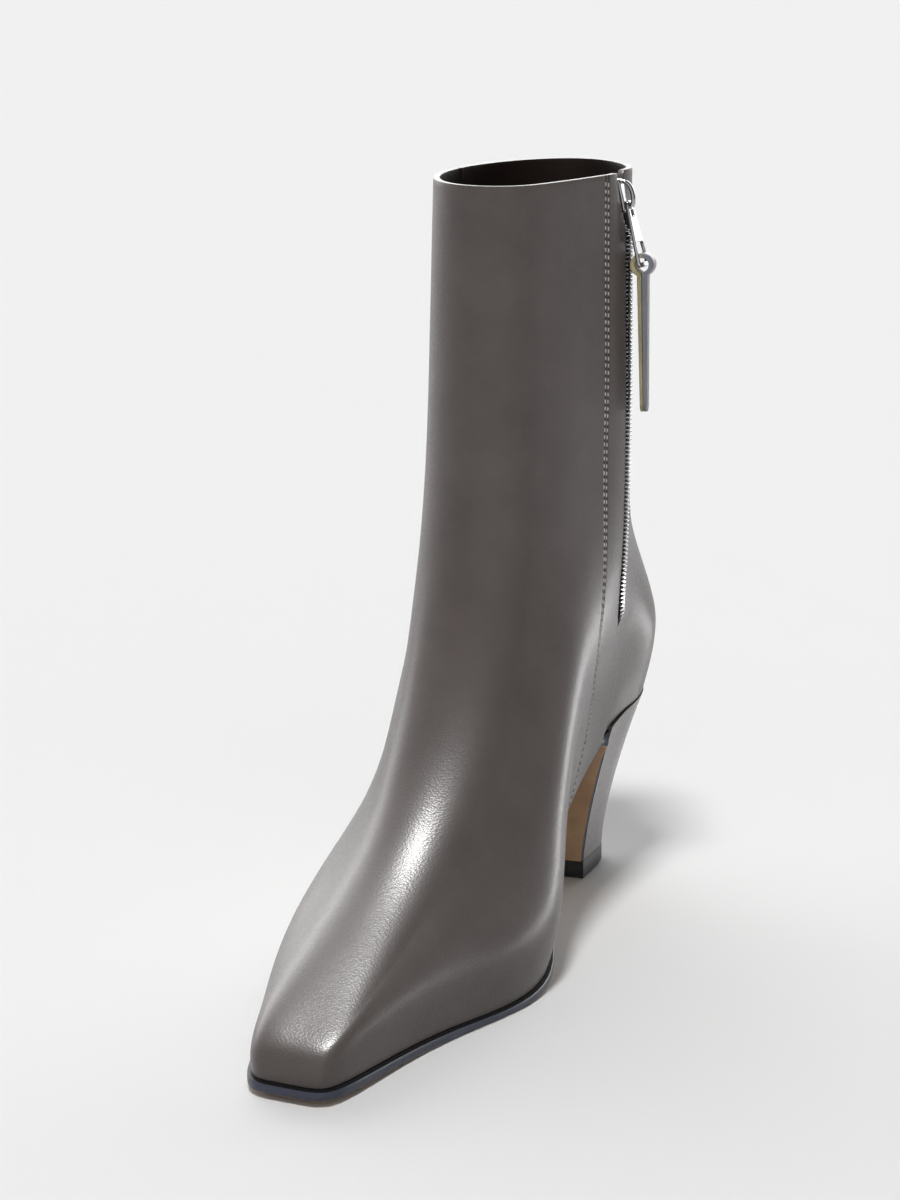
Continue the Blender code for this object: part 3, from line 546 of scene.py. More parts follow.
def woven_tape():
    material, tree, place = textured("tape_fabric", (0.030, 0.029, 0.030), 0.85, Sheen_Weight=0.3)
    threads = []
    for direction in ("Y", "Z"):
        wave = texture(tree, "TexWave", place, Scale=420.0, Distortion=0.6)
        wave.bands_direction = direction
        threads.append(wave.outputs["Fac"])
    first = bump(tree, threads[0], 0.12 * MM, 0.7)
    weave = bump(tree, threads[1], 0.12 * MM, 0.7, first)
    # painted shade of the weave: darker between the threads, lighter on their tops
    tint = ramp(tree, threads[1], [(0.2, (0.016, 0.015, 0.016)), (0.9, (0.045, 0.043, 0.043))])
    feed(tree, Base_Color=tint, Normal=weave)
    return material


TAN_SOLE = tan_sole()
RUBBER = black_rubber()
CHROME = metal("chrome", (0.42, 0.42, 0.43), 0.14)
DARK_METAL = metal("chain_metal", (0.42, 0.42, 0.43), 0.20)
TAPE = woven_tape()


# Meshes
def put(name, data):
    """A new object in the scene."""
    obj = bpy.data.objects.new(name, data)
    bpy.context.scene.collection.objects.link(obj)
    return obj


def add_mesh(name, shape, materials, face_slots=None, smooth_deg=40, local=None, shade=None):
    """A mesh object of a shape's points and faces; the points are in the last's frame unless local, a matrix
    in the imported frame, is given."""
    mesh = bpy.data.meshes.new(name)
    points, faces = shape
    if local is None:
        points = points + MOVE
    mesh.from_pydata([tuple(point) for point in points], [], [tuple(face) for face in faces])
    for material in materials:
        mesh.materials.append(material)
    if face_slots is not None:
        mesh.polygons.foreach_set("material_index", np.asarray(face_slots, int))
    if local is not None:
        mesh.transform(local)
    # painted shade per point, kept as an attribute that darkens the leather's colour
    if shade is not None:
        values = mesh.attributes.new("painted_seam_shade", "FLOAT", "POINT").data
        values.foreach_set("value", np.asarray(shade, float))
    work = bmesh.new()
    work.from_mesh(mesh)
    bmesh.ops.remove_doubles(work, verts=work.verts, dist=1e-7)
    bmesh.ops.recalc_face_normals(work, faces=work.faces)
    work.to_mesh(mesh)
    work.free()
    mesh.shade_smooth()
    mesh.set_sharp_from_angle(angle=math.radians(smooth_deg))
    return put(name, mesh)


def grid_faces(rows, columns, closed=False, skip=None):
    """Faces of a grid of points stored row by row; skip(row, column) leaves a face out."""
    faces = []
    for i in range(rows - 1):
        for j in range(columns if closed else columns - 1):
            if skip is not None and skip(i, j):
                continue
            after = (j + 1) % columns
            base, above = i * columns, (i + 1) * columns
            faces.append((base + j, base + after, above + after, above + j))
    return faces


def tube_along(rings):
    """Points and faces over closed rings, with both ends closed."""
    size = len(rings[0])
    faces = grid_faces(len(rings), size, True)
    faces += [tuple(range(size))[::-1], tuple(range((len(rings) - 1) * size, len(rings) * size))]
    return np.concatenate(rings), faces


def dress(piece, body, slot, *nodes):
    """Ties a piece to its body and the nodes that it stands for; slot, its material slot, is not used."""
    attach(piece, body)
    if nodes:
        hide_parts(*nodes)


# Upper
NEAR_COLLAR = np.linspace(COLLAR_U - 0.7, COLLAR_U, 16)
UPPER_ROWS = np.unique(np.concatenate([np.linspace(0, COLLAR_U, 127), [SLOT_FOOT_U], NEAR_COLLAR]))
SLOT_STEPS = 8
FRONT_CORNER, REAR_CORNER = 5.0 * MM, 2.5 * MM  # radii at the collar beside the zip
CORNER_START_U = 8.2
RIM_ROUNDING = 0.5 * MM


def upper_columns(u):
    """v of the upper's columns at one level, close together at stitches, panel edge and seam."""
    stitch, edge, rear = stitch_v(u)[0], edge_v(u), slot_rear_v(u)[0]
    near = [0.4, 0.75, 1.0, 1.25, 1.6, 2.2]
    stitches = beside(stitch, u, [-away for away in near[::-1]] + [0] + near)
    rim = beside(edge, u, [-1.6, -0.7, -0.3, 0.0])
    lap = beside(edge, u, [0.25, 0.8])
    near = [0.2, 0.45, 0.8, 1.6, 3.0]
    seam = beside(SEAM_V, u, [-away for away in near[::-1]] + [0] + near)
    stretches = [
        np.linspace(0, stitches[0], 60)[:-1],
        stitches,
        np.linspace(stitches[-1], rim[0], 9)[1:-1],
        rim,
        lap,
        np.linspace(lap[-1], rear, SLOT_STEPS - 1)[1:],
        np.linspace(rear, seam[0], 70)[1:-1],
        seam,
        np.linspace(seam[-1], TURN, 60)[1:-1],
    ]
    return np.concatenate(stretches)


def corner_drop(v):
    """How far in u the collar falls at the rounded corners beside the zip."""
    drop = np.zeros_like(v)
    rear = slot_rear_v(COLLAR_U)[0]
    for edge, sign, radius in ((EDGE_COLLAR_V, -1, FRONT_CORNER), (rear, 1, REAR_CORNER)):
        away = sign * away_from(edge, COLLAR_U, v)
        inside = (away >= -1e-9) & (away < radius)
        fall = radius - np.sqrt(np.maximum(radius**2 - (radius - away) ** 2, 0.0))
        drop = np.where(inside, fall, drop)
    rise = last_point(COLLAR_U, EDGE_COLLAR_V) - last_point(COLLAR_U - 0.1, EDGE_COLLAR_V)
    return drop * 0.1 / np.linalg.norm(rise)


def painted_seam_shade(u, v):
    """Painted shade: 1 in the stitches' holes, the seams' creases and along the front panel's edge, 0 on
    plain leather.
    """
    shade = np.zeros(np.broadcast(u, v).shape)
    for side in (-0.5, 0.5):
        away = away_from(stitch_v(u), u, v) - side * STITCH_ROWS_APART
        shade = np.maximum(shade, 0.85 * bell(away, 0.5 * MM))
    shade = np.maximum(shade, 0.8 * bell(away_from(SEAM_V, u, v), 0.3 * MM))
    return np.maximum(shade, 0.95 * bell(away_from(edge_v(u), u, v) - 0.25 * MM, 0.35 * MM))


def build_upper():
    columns = np.array([upper_columns(u) for u in UPPER_ROWS])
    count = columns.shape[1]
    rows = UPPER_ROWS[:, None] - corner_drop(columns) * eased(UPPER_ROWS, CORNER_START_U, COLLAR_U)[:, None]
    points = upper_point(rows, columns, detail=True)
    # painted shade for the leather's colour at the stitches, the lateral seam and the panel's edge
    shade = painted_seam_shade(rows, columns).ravel()
    slot_start = int(np.argmin(abs(columns[0] - edge_v(0.0))))

    def in_slot(i, j):
        return UPPER_ROWS[i] >= SLOT_FOOT_U - 1e-9 and slot_start <= j < slot_start + SLOT_STEPS

    faces = grid_faces(len(UPPER_ROWS), count, True, in_slot)
    used = sorted({corner for face in faces for corner in face})
    place = {old: new for new, old in enumerate(used)}
    faces = [[place[corner] for corner in face] for face in faces]
    points, shade = points.reshape(-1, 3)[used], shade[used]
    upper = add_mesh("upper_shell", (points, faces), [UPPER_LEATHER, LINING], smooth_deg=50, shade=shade)
    dress(upper, "boot", "upper_leather", "upper")
    wall = upper.modifiers.new("wall", "SOLIDIFY")
    wall.thickness = WALL
    wall.offset = -1.0
    wall.material_offset = 1
    rounding = upper.modifiers.new("rounded_edges", "BEVEL")
    rounding.width = RIM_ROUNDING
    rounding.segments = 2
    rounding.limit_method = "ANGLE"
    rounding.angle_limit = math.radians(60)


# Rings along a stitch: share of its length, size and lift in radii
THREAD_RINGS = ((0.0, 0.45, -0.8), (0.16, 0.9, 0.1), (0.5, 1.0, 0.35), (0.84, 0.9, 0.1), (1.0, 0.45, -0.8))


def capsule(start, end, out, radius, sides=6):
    """Points and faces of a thread that dips at both ends, from start to end, raised along out."""
    start, end, out = np.asarray(start), np.asarray(end), np.asarray(out)
    along = end - start
    side = unit(np.cross(along, out))
    turn = (np.arange(sides) * 2 * math.pi / sides)[:, None]
    rings = []
    for t, size, lift in THREAD_RINGS:
        middle = start + t * along + out * lift * radius
        rings.append(middle + radius * size * (np.cos(turn) * side + np.sin(turn) * out))
    return tube_along(rings)


def joined(parts):
    """Points and faces of many small parts in one."""
    points, faces, base = [], [], 0
    for part_points, part_faces in parts:
        points.append(part_points)
        faces += [[corner + base for corner in face] for face in part_faces]
        base += len(part_points)
    return np.concatenate(points), faces


def build_stitches():
    parts = []
    us = np.linspace(0.10, COLLAR_U - 0.05, 3000)
    for row, side in enumerate((-0.5, 0.5)):
        vs = stitch_v(us) + side * STITCH_ROWS_APART / metres_per_v(us, stitch_v(us))
        line = upper_point(us, vs, depth=-0.02 * MM, detail=True)
        out = last_normal(us, vs)
        run = run_along(line)
        start = STITCH_PITCH * (0.2 + 0.5 * row)
        for first in np.arange(start, run[-1] - STITCH_LENGTH, STITCH_PITCH):
            a, b = np.searchsorted(run, [first, first + STITCH_LENGTH])
            parts.append(capsule(line[a], line[b], out[(a + b) // 2], STITCH_RADIUS))
    dress(add_mesh("panel_stitches", joined(parts), [THREAD], smooth_deg=80), "boot", "upper_leather")


# Sole, insole and heel
def sole_ledge(y):
    return SOLE_LEDGE - (SOLE_LEDGE + WAIST_TUCK) * eased(y, *TUCK_Y)


def sole_thickness(y):
    return SOLE_THICKNESS - (SOLE_THICKNESS - WAIST_THICKNESS) * eased(y, *THINNING_Y)


def heel_share(drop):
    return 1 - (1 - drop) ** HEEL_HOLLOW


def breast_y(drop):
    return BREAST_TOP_Y + (BREAST_FOOT_Y - BREAST_TOP_Y) * heel_share(drop)


HEEL_STEPS = np.sin(np.linspace(0, 1, 41) * math.pi / 2)
SEAT_OUTLINE = feather_moved(lambda y: np.full_like(y, SEAT_LEDGE))
SEAT_BACK_Y = SEAT_OUTLINE[0][-1, 1]
HEEL_FOOT_Z = TOP_PIECE_HEIGHT + JOINT


def heel_sides(drop):
    """Points of the heel's medial and lateral side from breast to back, at a share of the way down."""
    seat_y = BREAST_TOP_Y + (SEAT_BACK_Y - BREAST_TOP_Y) * HEEL_STEPS
    foot_x = TOP_PIECE_HALF_WIDTH * (1 - HEEL_STEPS**HEEL_ROUNDNESS) ** (1 / HEEL_ROUNDNESS)
    foot_y = BREAST_FOOT_Y + TOP_PIECE_LENGTH * HEEL_STEPS
    share = heel_share(drop)
    sides = []
    for sign, outline in zip((1, -1), SEAT_OUTLINE):
        seat_x, seat_z = side_at(outline, seat_y)
        x = seat_x + share * (HEEL_AXIS_X + sign * foot_x - seat_x)
        y = seat_y + share * (foot_y - seat_y)
        z = seat_z - JOINT + drop * (HEEL_FOOT_Z - seat_z + JOINT)
        sides.append(np.stack([x, y, z], -1))
    return sides


def heel_ring(drop):
    medial, lateral = heel_sides(drop)
    back = (medial[-1] + lateral[-1]) / 2
    return np.concatenate([medial[:-1], [back], lateral[-2::-1]])


def capped(rings):
    """Points and faces over closed rings, with both ends closed by strips from side to side."""
    size, count = len(rings[0]), len(rings)
    faces = grid_faces(count, size, True)
    back = size // 2
    for base in (0, size * (count - 1)):
        for k in range(back - 1):
            far = size - 1 - k
            faces.append((base + k, base + k + 1, base + far - 1, base + far))
        faces.append((base + back - 1, base + back, base + back + 1))
    return np.concatenate(rings), faces


def build_heel():
    rings = [heel_ring(drop) for drop in np.linspace(0, 1, 42) ** 1.2]
    dress(add_mesh("heel_block", capped(rings), [COVER_LEATHER]), "boot", "upper_leather", "heel")


# Up the top piece: height and inset in millimetres
TOP_PIECE_PROFILE = ((0.0, 0.8), (0.25, 0.3), (0.8, 0.0), (5.7, 0.0), (6.1, 0.12), (6.3, 0.5))


def build_top_piece():
    plan = heel_ring(1.0)
    centre = plan.mean(axis=0)
    rings = []
    for z, inset in TOP_PIECE_PROFILE:
        ring = plan.copy()
        ring[:, :2] = centre[:2] + (plan[:, :2] - centre[:2]) * (1 - inset * MM / TOP_PIECE_HALF_WIDTH)
        ring[:, 2] = z * MM
        rings.append(ring)
    dress(add_mesh("heel_top_piece", capped(rings), [RUBBER]), "boot", "black_rubber", "top_piece")


# Round the sole's edge from top to underside: how far out from the outline, in millimetres, and how far
# through its thickness
EDGE_PROFILE = (
    *((-6.0, 0.0), (-0.9, 0.0), (-0.9, 0.12), (-0.18, 0.16)),
    *((0.0, 0.26), (0.0, 0.80), (-0.15, 0.93), (-0.5, 1.0)),
)
EDGE_SLOTS = (1, 1, 1, 0, 0, 0, 2)  # 0 dyed edge, 1 black: edge ink and painted shade where the upper meets the sole, 2 tan underside
ACROSS = 10  # faces from side to side
SOLE_STEP, INSOLE_STEP = 4, 6  # points of the feather line from one edge point to the next


def sheet(name, top, low, out, mirror, closed, materials, slots, slot_of_across):
    """A sheet with the profile round its edge: top and low are the edge's points, mirror pairs its sides."""
    rows = []
    for outward, through in EDGE_PROFILE:
        rows.append(top + (low - top) * through + out * outward * MM)
    count = len(top)
    points = np.concatenate(rows)
    faces = grid_faces(len(rows), count, closed)
    face_slots = []
    for k in range(len(rows) - 1):
        face_slots += [slots[k]] * (count if closed else count - 1)
    base = len(points)
    extra = []
    for row, slot in ((0, slot_of_across[0]), (len(rows) - 1, slot_of_across[1])):
        strip = []
        for near, far in mirror:
            a, b = rows[row][near], rows[row][far]
            inner = [base + len(extra) + k for k in range(ACROSS - 1)]
            for k in range(1, ACROSS):
                extra.append(a + (b - a) * k / ACROSS)
            strip.append([row * count + near, *inner, row * count + far])
        for first, second in zip(strip, strip[1:]):
            for k in range(ACROSS):
                faces.append((first[k], first[k + 1], second[k + 1], second[k]))
                face_slots.append(slot)
    points = np.concatenate([points, np.array(extra)])
    return add_mesh(name, (points, faces), materials, face_slots, 35)


def flap_edge_x(drop, sign):
    """x of the flap's edge, just inside the edge of the heel's breast."""
    side = heel_sides(drop)[0 if sign > 0 else 1]
    return side[0, 0] - sign * FLAP_INSET


def outsole_side(side, sign):
    """One side from the toe to the flap's foot: points on top, points underneath, and the way outwards."""
    reach = side[:, 1] < BREAST_TOP_Y - FLAP_BEND
    keep = np.append(np.arange(0, reach.sum() - 1, SOLE_STEP), reach.sum() - 1)
    edge = side[keep]
    along = np.gradient(side, axis=0)[keep]
    outward = sign * rightward(along)
    top = edge - np.array([0, 0, JOINT])
    slope = np.arctan2(along[:, 2], np.maximum(along[:, 1], 1e-6))
    slope = np.where(edge[:, 1] < LEVEL_EDGE_Y, 0.0, slope)
    thick = sole_thickness(edge[:, 1])
    low = top + np.stack([0 * thick, thick * np.sin(slope), -thick * np.cos(slope)], -1)
    low[:, 2] = np.maximum(low[:, 2], 0.0)

    # The bend into the breast and the flap down it
    corner = np.array([BREAST_TOP_Y - JOINT, side_at(side, BREAST_TOP_Y)[1] - JOINT])
    inner_y = corner[0] - FLAP_THICKNESS
    inner = np.array([inner_y, low[-1, 2] + BREAST_SLOPE * (inner_y - low[-1, 1])])
    end_low = np.array([inner[0], inner[1] - FLAP_BEND])
    tops, lows = [], []
    for t in np.linspace(0, 1, 13)[1:]:
        bend = (1 - t) ** 2 * low[-1, 1:] + 2 * t * (1 - t) * inner + t**2 * end_low
        if t < 0.5:
            back = (1 - 2 * t) * top[-1, 1:] + 2 * t * corner
        else:
            back = corner - np.array([0.0, (2 * t - 1) * (corner[1] - end_low[1])])
        drop = np.clip((corner[1] - back[1]) / (corner[1] - HEEL_FOOT_Z), 0, 1)
        settled = eased(t, 0.2, 0.8)
        x = (1 - settled) * side_at(side, back[0])[0] + settled * flap_edge_x(drop, sign)
        tops.append((x, back[0], back[1]))
        lows.append((x, bend[0], bend[1]))
    first = (corner[1] - end_low[1]) / (corner[1] - HEEL_FOOT_Z)
    for drop in np.linspace(first, 1, 16)[1:]:
        x = flap_edge_x(drop, sign)
        z = corner[1] + drop * (HEEL_FOOT_Z - corner[1])
        tops.append((x, breast_y(drop) - JOINT, z))
        lows.append((x, breast_y(drop) - JOINT - FLAP_THICKNESS, z))
    sideways = np.tile([sign, 0.0, 0.0], (len(tops), 1))
    return np.concatenate([top, tops]), np.concatenate([low, lows]), np.concatenate([outward, sideways])


def build_outsole():
    medial, lateral = feather_moved(sole_ledge)
    inner, outer = outsole_side(medial, 1), outsole_side(lateral, -1)
    last_inner, last_outer = len(inner[0]) - 1, len(outer[0]) - 1
    top, low, out = [np.concatenate([two[:0:-1], one]) for one, two in zip(inner, outer)]
    toe = last_outer
    shares = np.linspace(1, 0, min(last_inner, last_outer) + 1)
    mirror = [(toe + round(t * last_inner), toe - round(t * last_outer)) for t in shares]
    materials = [SOLE_EDGE, SOLE_INK_AND_SHADE, TAN_SOLE]
    outsole = sheet("leather_outsole", top, low, out, mirror, False, materials, EDGE_SLOTS, (1, 2))
    dress(outsole, "boot", "sole_leather", "outsole")


def build_insole():
    medial, lateral = feather_moved(lambda y: np.full_like(y, -WALL - INSOLE_INSET))
    loop = np.concatenate([medial[:-1:INSOLE_STEP], lateral[:0:-INSOLE_STEP]])
    out = rightward(np.gradient(loop, axis=0))
    low = loop + np.array([0, 0, INSOLE_LIFT])
    top = low + np.array([0, 0, INSOLE_THICKNESS])
    half = len(medial[:-1:INSOLE_STEP])
    rest = len(loop) - half
    mirror = []
    for t in np.linspace(0, 1, half):
        mirror.append((round(t * (half - 1)), (len(loop) - round(t * (rest - 1))) % len(loop)))
    slots = (0,) * len(EDGE_SLOTS)
    insole = sheet("insole_board", top, low, out, mirror, True, [LINING], slots, (0, 0))
    dress(insole, "boot", "lining_leather", "insole")


# Zip
TAPE_THICKNESS = 0.8 * MM
TAPE_BELOW_SLOT_U = 0.3
TAPE_BESIDE_SLOT_V = 0.35
TAPE_DEPTH = WALL + 0.3 * MM
CHAIN_TOP_U = COLLAR_U - 0.42
SLIDER_BELOW_COLLAR = 7.6 * MM
TOOTH_PITCH = 1.3 * MM
TOOTH_LENGTH = 0.627 * MM
TOOTH_REACH = 2.45 * MM  # from the zip's middle
TOOTH_OVERLAP = 0.55 * MM  # past the middle
TOOTH_PROUD = 0.9 * MM  # heads over the upper's face
TOOTH_SUNK = -1.0 * MM  # the same at the slider
SINK_START, SINK_END = 7.0 * MM, 2.0 * MM  # before the chain's top
TOOTH_HEIGHT = 1.3 * MM
TOOTH_EASE = 0.25 * MM  # the slope at a head's edges

# Across a tooth: distance from the zip's middle, then shares of its length, each way, and of its height
TOOTH_PROFILE = (
    (-TOOTH_OVERLAP, 0.30, 0.75),
    (-0.3 * TOOTH_OVERLAP, 0.48, 0.95),
    (0.25 * TOOTH_REACH, 0.42, 1.0),
    (0.75 * TOOTH_REACH, 0.50, 1.0),
    (TOOTH_REACH, 0.42, 0.7),
)


def build_zip_tape():
    us = np.linspace(SLOT_FOOT_U - TAPE_BELOW_SLOT_U, COLLAR_U - 0.05, 90)
    front, rear = edge_v(us) - TAPE_BESIDE_SLOT_V, slot_rear_v(us) + TAPE_BESIDE_SLOT_V
    columns = np.linspace(front, rear, 15, axis=-1)
    outer = upper_point(us[:, None], columns, TAPE_DEPTH)
    inner = upper_point(us[:, None], columns, TAPE_DEPTH + TAPE_THICKNESS)
    shape = tube_along(np.concatenate([outer, inner[:, ::-1]], axis=1))
    dress(add_mesh("zip_tape_woven", shape, [TAPE]), "boot", "tape_fabric", "zip_tape")


def build_zip_teeth():
    us = np.linspace(SLOT_FOOT_U + 0.06, CHAIN_TOP_U, 4000)
    middle = (edge_v(us) + slot_rear_v(us)) / 2
    line = upper_point(us, middle)
    out = last_normal(us, middle)
    run = run_along(line)
    sinking, sunk = run[-1] - SINK_START, run[-1] - SINK_END
    parts = []
    for k, place in enumerate(np.arange(TOOTH_PITCH, run[-1] - TOOTH_PITCH, TOOTH_PITCH / 2)):
        n = np.searchsorted(run, place)
        up = unit(line[n + 1] - line[n - 1])
        across = np.cross(up, out[n]) * (1 if k % 2 else -1)
        head_here = TOOTH_PROUD + (TOOTH_SUNK - TOOTH_PROUD) * eased(place, sinking, sunk)
        foot = head_here - TOOTH_HEIGHT
        rings = []
        for reach, width, height in TOOTH_PROFILE:
            half = width * TOOTH_LENGTH
            head = foot + TOOTH_HEIGHT * height
            section = [(-half, foot), (half, foot), (half, head - TOOTH_EASE), (0.6 * half, head)]
            section += [(-0.6 * half, head), (-half, head - TOOTH_EASE)]
            rings.append([line[n] + across * reach + up * a + out[n] * b for a, b in section])
        parts.append(tube_along(rings))
    dress(add_mesh("zip_teeth", joined(parts), [DARK_METAL]), "boot", "chain_metal", "zip_chain")


# Slider, link and strap, in the frames of the part
PLATE_WIDTH, PLATE_LENGTH, PLATE_THICKNESS = 5.2 * MM, 11.0 * MM, 1.7 * MM
PLATE_CORNER = 1.6 * MM
PLATE_FOOT = -0.7 * MM
PLATE_TOP = PLATE_FOOT + PLATE_THICKNESS
BAIL_TOP = 3.8 * MM
BAIL_UPPER_END, BAIL_LOWER_END = 4.2 * MM, -4.8 * MM
BAIL_HALF_WIDTH, BAIL_HALF_THICKNESS = 1.05 * MM, 0.7 * MM
BAIL_SPREAD = 0.2 * MM  # how much wider each way at its ends
LINK_THICKNESS = 1.1 * MM
LINK_LENGTH = 21.4 * MM
LINK_TOP_WIDTH, LINK_FOOT_WIDTH = 5.6 * MM, 11.0 * MM
LINK_BAR = 0.9 * MM
LINK_FOOT_BAR = 1.6 * MM
LINK_EYE_LENGTH, LINK_EYE_WIDTH = 4.4 * MM, 3.0 * MM
LINK_SLOT_LENGTH, LINK_SLOT_WIDTH = 6.4 * MM, 8.6 * MM
LINK_CORNER, LINK_HOLE_CORNER, LINK_ROUNDING = 1.8 * MM, 1.2 * MM, 0.28 * MM
LINK_LEAN = math.radians(2.5)
HINGE_OUT = PLATE_TOP + 0.9 * MM
HINGE_UP = -2.4 * MM
STRAP_LAYER = 1.5 * MM
STRAP_TIP_LAYER = 1.0 * MM
STRAP_TWIST = math.radians(7)
STRAP_SWAY = math.radians(2)  # tip outwards
STRAP_LOOP_RADIUS = 2.2 * MM
STRAP_WIDTH = 7.6 * MM
STRAP_TIP_WIDTH = 6.0 * MM
STRAP_LENGTH = 46.4 * MM
STRAP_TIP_ROUND = 2.6 * MM
STRAP_HALF_GAP = 0.04 * MM  # between its two layers

# Up the slider's plate: size in plan and share of its thickness
PLATE_PROFILE = ((0.94, 0.0), (1.0, 0.12), (1.0, 0.66), (0.985, 0.84), (0.94, 0.96), (0.88, 1.0))

# One edge of the strap through its thickness: share of the thickness and of half the width
STRAP_PROFILE = ((-0.5, 0.92), (-0.42, 1.0), (0.05, 1.0), (0.40, 1.0), (0.5, 0.94))


def slider_frame():
    """Where the slider sits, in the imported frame: X to the heel, Y up the zip and Z out of the upper."""
    us = np.linspace(COLLAR_U - 1, COLLAR_U, 200)
    v = (edge_v(COLLAR_U) + slot_rear_v(COLLAR_U)[0]) / 2
    line = upper_point(us, v)
    k = np.argmin(abs(line[-1, 2] - line[:, 2] - SLIDER_BELOW_COLLAR))
    near = abs(line[:, 2] - line[k, 2]) < PLATE_LENGTH / 2
    up = Vector(line[near][-1] - line[near][0]).normalized()
    out = Vector(last_normal(us[k], v)[0])
    out = (out - out.project(up)).normalized()
    turn = Matrix((up.cross(out), up, out)).transposed()
    return Matrix.Translation(line[k] + MOVE) @ turn.to_4x4()


SLIDER_PLACE = slider_frame()
HINGE_PLACE = SLIDER_PLACE @ Matrix.Translation((0.0, HINGE_UP, HINGE_OUT))


def rounded(corners, radius, steps=6):
    """A polygon's corners rounded off, as a closed list of points."""
    points = []
    for k, corner in enumerate(corners):
        corner = np.array(corner)
        before = np.array(corners[k - 1]) - corner
        after = np.array(corners[(k + 1) % len(corners)]) - corner
        start = corner + radius * unit(before)
        end = corner + radius * unit(after)
        for t in np.linspace(0, 1, steps + 1):
            points.append((1 - t) ** 2 * start + 2 * t * (1 - t) * corner + t**2 * end)
    return np.array(points)


def build_zip_slider():
    head, tail, end = PLATE_WIDTH / 2, 0.36 * PLATE_WIDTH, PLATE_LENGTH / 2
    plan = rounded([(head, end), (-head, end), (-tail, -end), (tail, -end)], PLATE_CORNER)
    rings = []
    for size, z in PLATE_PROFILE:
        height = np.full(len(plan), PLATE_FOOT + z * PLATE_THICKNESS)
        rings.append(np.column_stack([plan * size, height]))
    plate = tube_along(rings)

    foot = (PLATE_FOOT + PLATE_TOP) / 2
    centre = (BAIL_UPPER_END + BAIL_LOWER_END) / 2
    reach = (BAIL_UPPER_END - BAIL_LOWER_END) / 2
    angle = np.linspace(0, math.pi, 33)
    path = np.stack([centre + reach * np.cos(angle), foot + (BAIL_TOP - foot) * np.sin(angle) ** 0.6], -1)
    along = unit(np.gradient(path, axis=0))
    turn = np.arange(14) * 2 * math.pi / 14
    section = np.stack([np.sign(np.cos(turn)) * abs(np.cos(turn)) ** 0.7, np.sin(turn)], -1)
    rings = []
    for (y, z), (along_y, along_z), a in zip(path, along, angle):
        half = BAIL_HALF_WIDTH + BAIL_SPREAD * math.cos(a) ** 2
        out = BAIL_HALF_THICKNESS * section[:, 1]
        rings.append(np.stack([half * section[:, 0], y - along_z * out, z + along_y * out], -1))
    shape = joined([plate, tube_along(rings)])
    slider = add_mesh("zip_slider_body", shape, [CHROME], local=SLIDER_PLACE)
    dress(slider, "boot", "chrome", "zip_slider")


def build_zip_link():
    top = LINK_BAR / 2
    head, tail = LINK_TOP_WIDTH / 2, LINK_FOOT_WIDTH / 2
    foot = top - LINK_LENGTH
    outlines = [rounded([(head, top), (-head, top), (-tail, foot), (tail, foot)], LINK_CORNER)]
    for start, length, width in (
        (LINK_BAR, LINK_EYE_LENGTH, LINK_EYE_WIDTH),
        (LINK_LENGTH - LINK_FOOT_BAR - LINK_SLOT_LENGTH, LINK_SLOT_LENGTH, LINK_SLOT_WIDTH),
    ):
        half, first, last = width / 2, top - start, top - start - length
        hole = [(half, first), (-half, first), (-half, last), (half, last)]
        outlines.append(rounded(hole, LINK_HOLE_CORNER))
    curve = bpy.data.curves.new("link_outline", "CURVE")
    curve.dimensions = "2D"
    curve.fill_mode = "BOTH"
    curve.bevel_depth = LINK_ROUNDING
    curve.bevel_resolution = 3
    curve.offset = -LINK_ROUNDING
    curve.extrude = LINK_THICKNESS / 2 - LINK_ROUNDING
    for outline in outlines:
        spline = curve.splines.new("POLY")
        spline.points.add(len(outline) - 1)
        for point, (x, y) in zip(spline.points, outline):
            point.co = (x, y, 0.0, 1.0)
        spline.use_cyclic_u = True
    shape = put("link_outline", curve)
    mesh = bpy.data.meshes.new_from_object(shape)
    bpy.data.objects.remove(shape)
    mesh.name = "zip_pull_link"
    mesh.materials.clear()
    mesh.materials.append(CHROME)
    mesh.transform(HINGE_PLACE @ Matrix.Rotation(-LINK_LEAN, 4, "X"))
    mesh.shade_smooth()
    mesh.set_sharp_from_angle(angle=math.radians(40))
    dress(put("zip_pull_link", mesh), "zip_pull", "chrome", "zip_link")


def strap_path():
    """The folded strip's middle line from tip round the loop to tip: place, thickness and half width."""
    ring = STRAP_LOOP_RADIUS + STRAP_LAYER / 2
    start = math.asin((STRAP_LAYER / 2 + STRAP_HALF_GAP) / ring)
    neck = -ring * math.cos(start)
    down = np.linspace(neck, -STRAP_LENGTH, 40)
    share = (down - neck) / (-STRAP_LENGTH - neck)
    layer = STRAP_LAYER + (STRAP_TIP_LAYER - STRAP_LAYER) * share
    tip = np.clip((down + STRAP_LENGTH) / STRAP_TIP_ROUND, 0, 1)
    half = (STRAP_WIDTH + (STRAP_TIP_WIDTH - STRAP_WIDTH) * share) / 2
    half = half * (0.45 + 0.55 * np.sqrt(1 - (1 - tip) ** 2))
    outer = np.stack([layer / 2 + STRAP_HALF_GAP, down], -1)
    inner = outer[::-1] * np.array([-1, 1])
    turn = np.linspace(1.5 * math.pi - start, -math.pi / 2 + start, 42)[1:-1]
    loop = ring * np.stack([np.cos(turn), np.sin(turn)], -1)
    path = np.concatenate([inner, loop, outer])
    layers = np.concatenate([layer[::-1], np.full(len(loop), STRAP_LAYER), layer])
    halves = np.concatenate([half[::-1], np.full(len(loop), STRAP_WIDTH / 2), half])
    return path, layers, halves


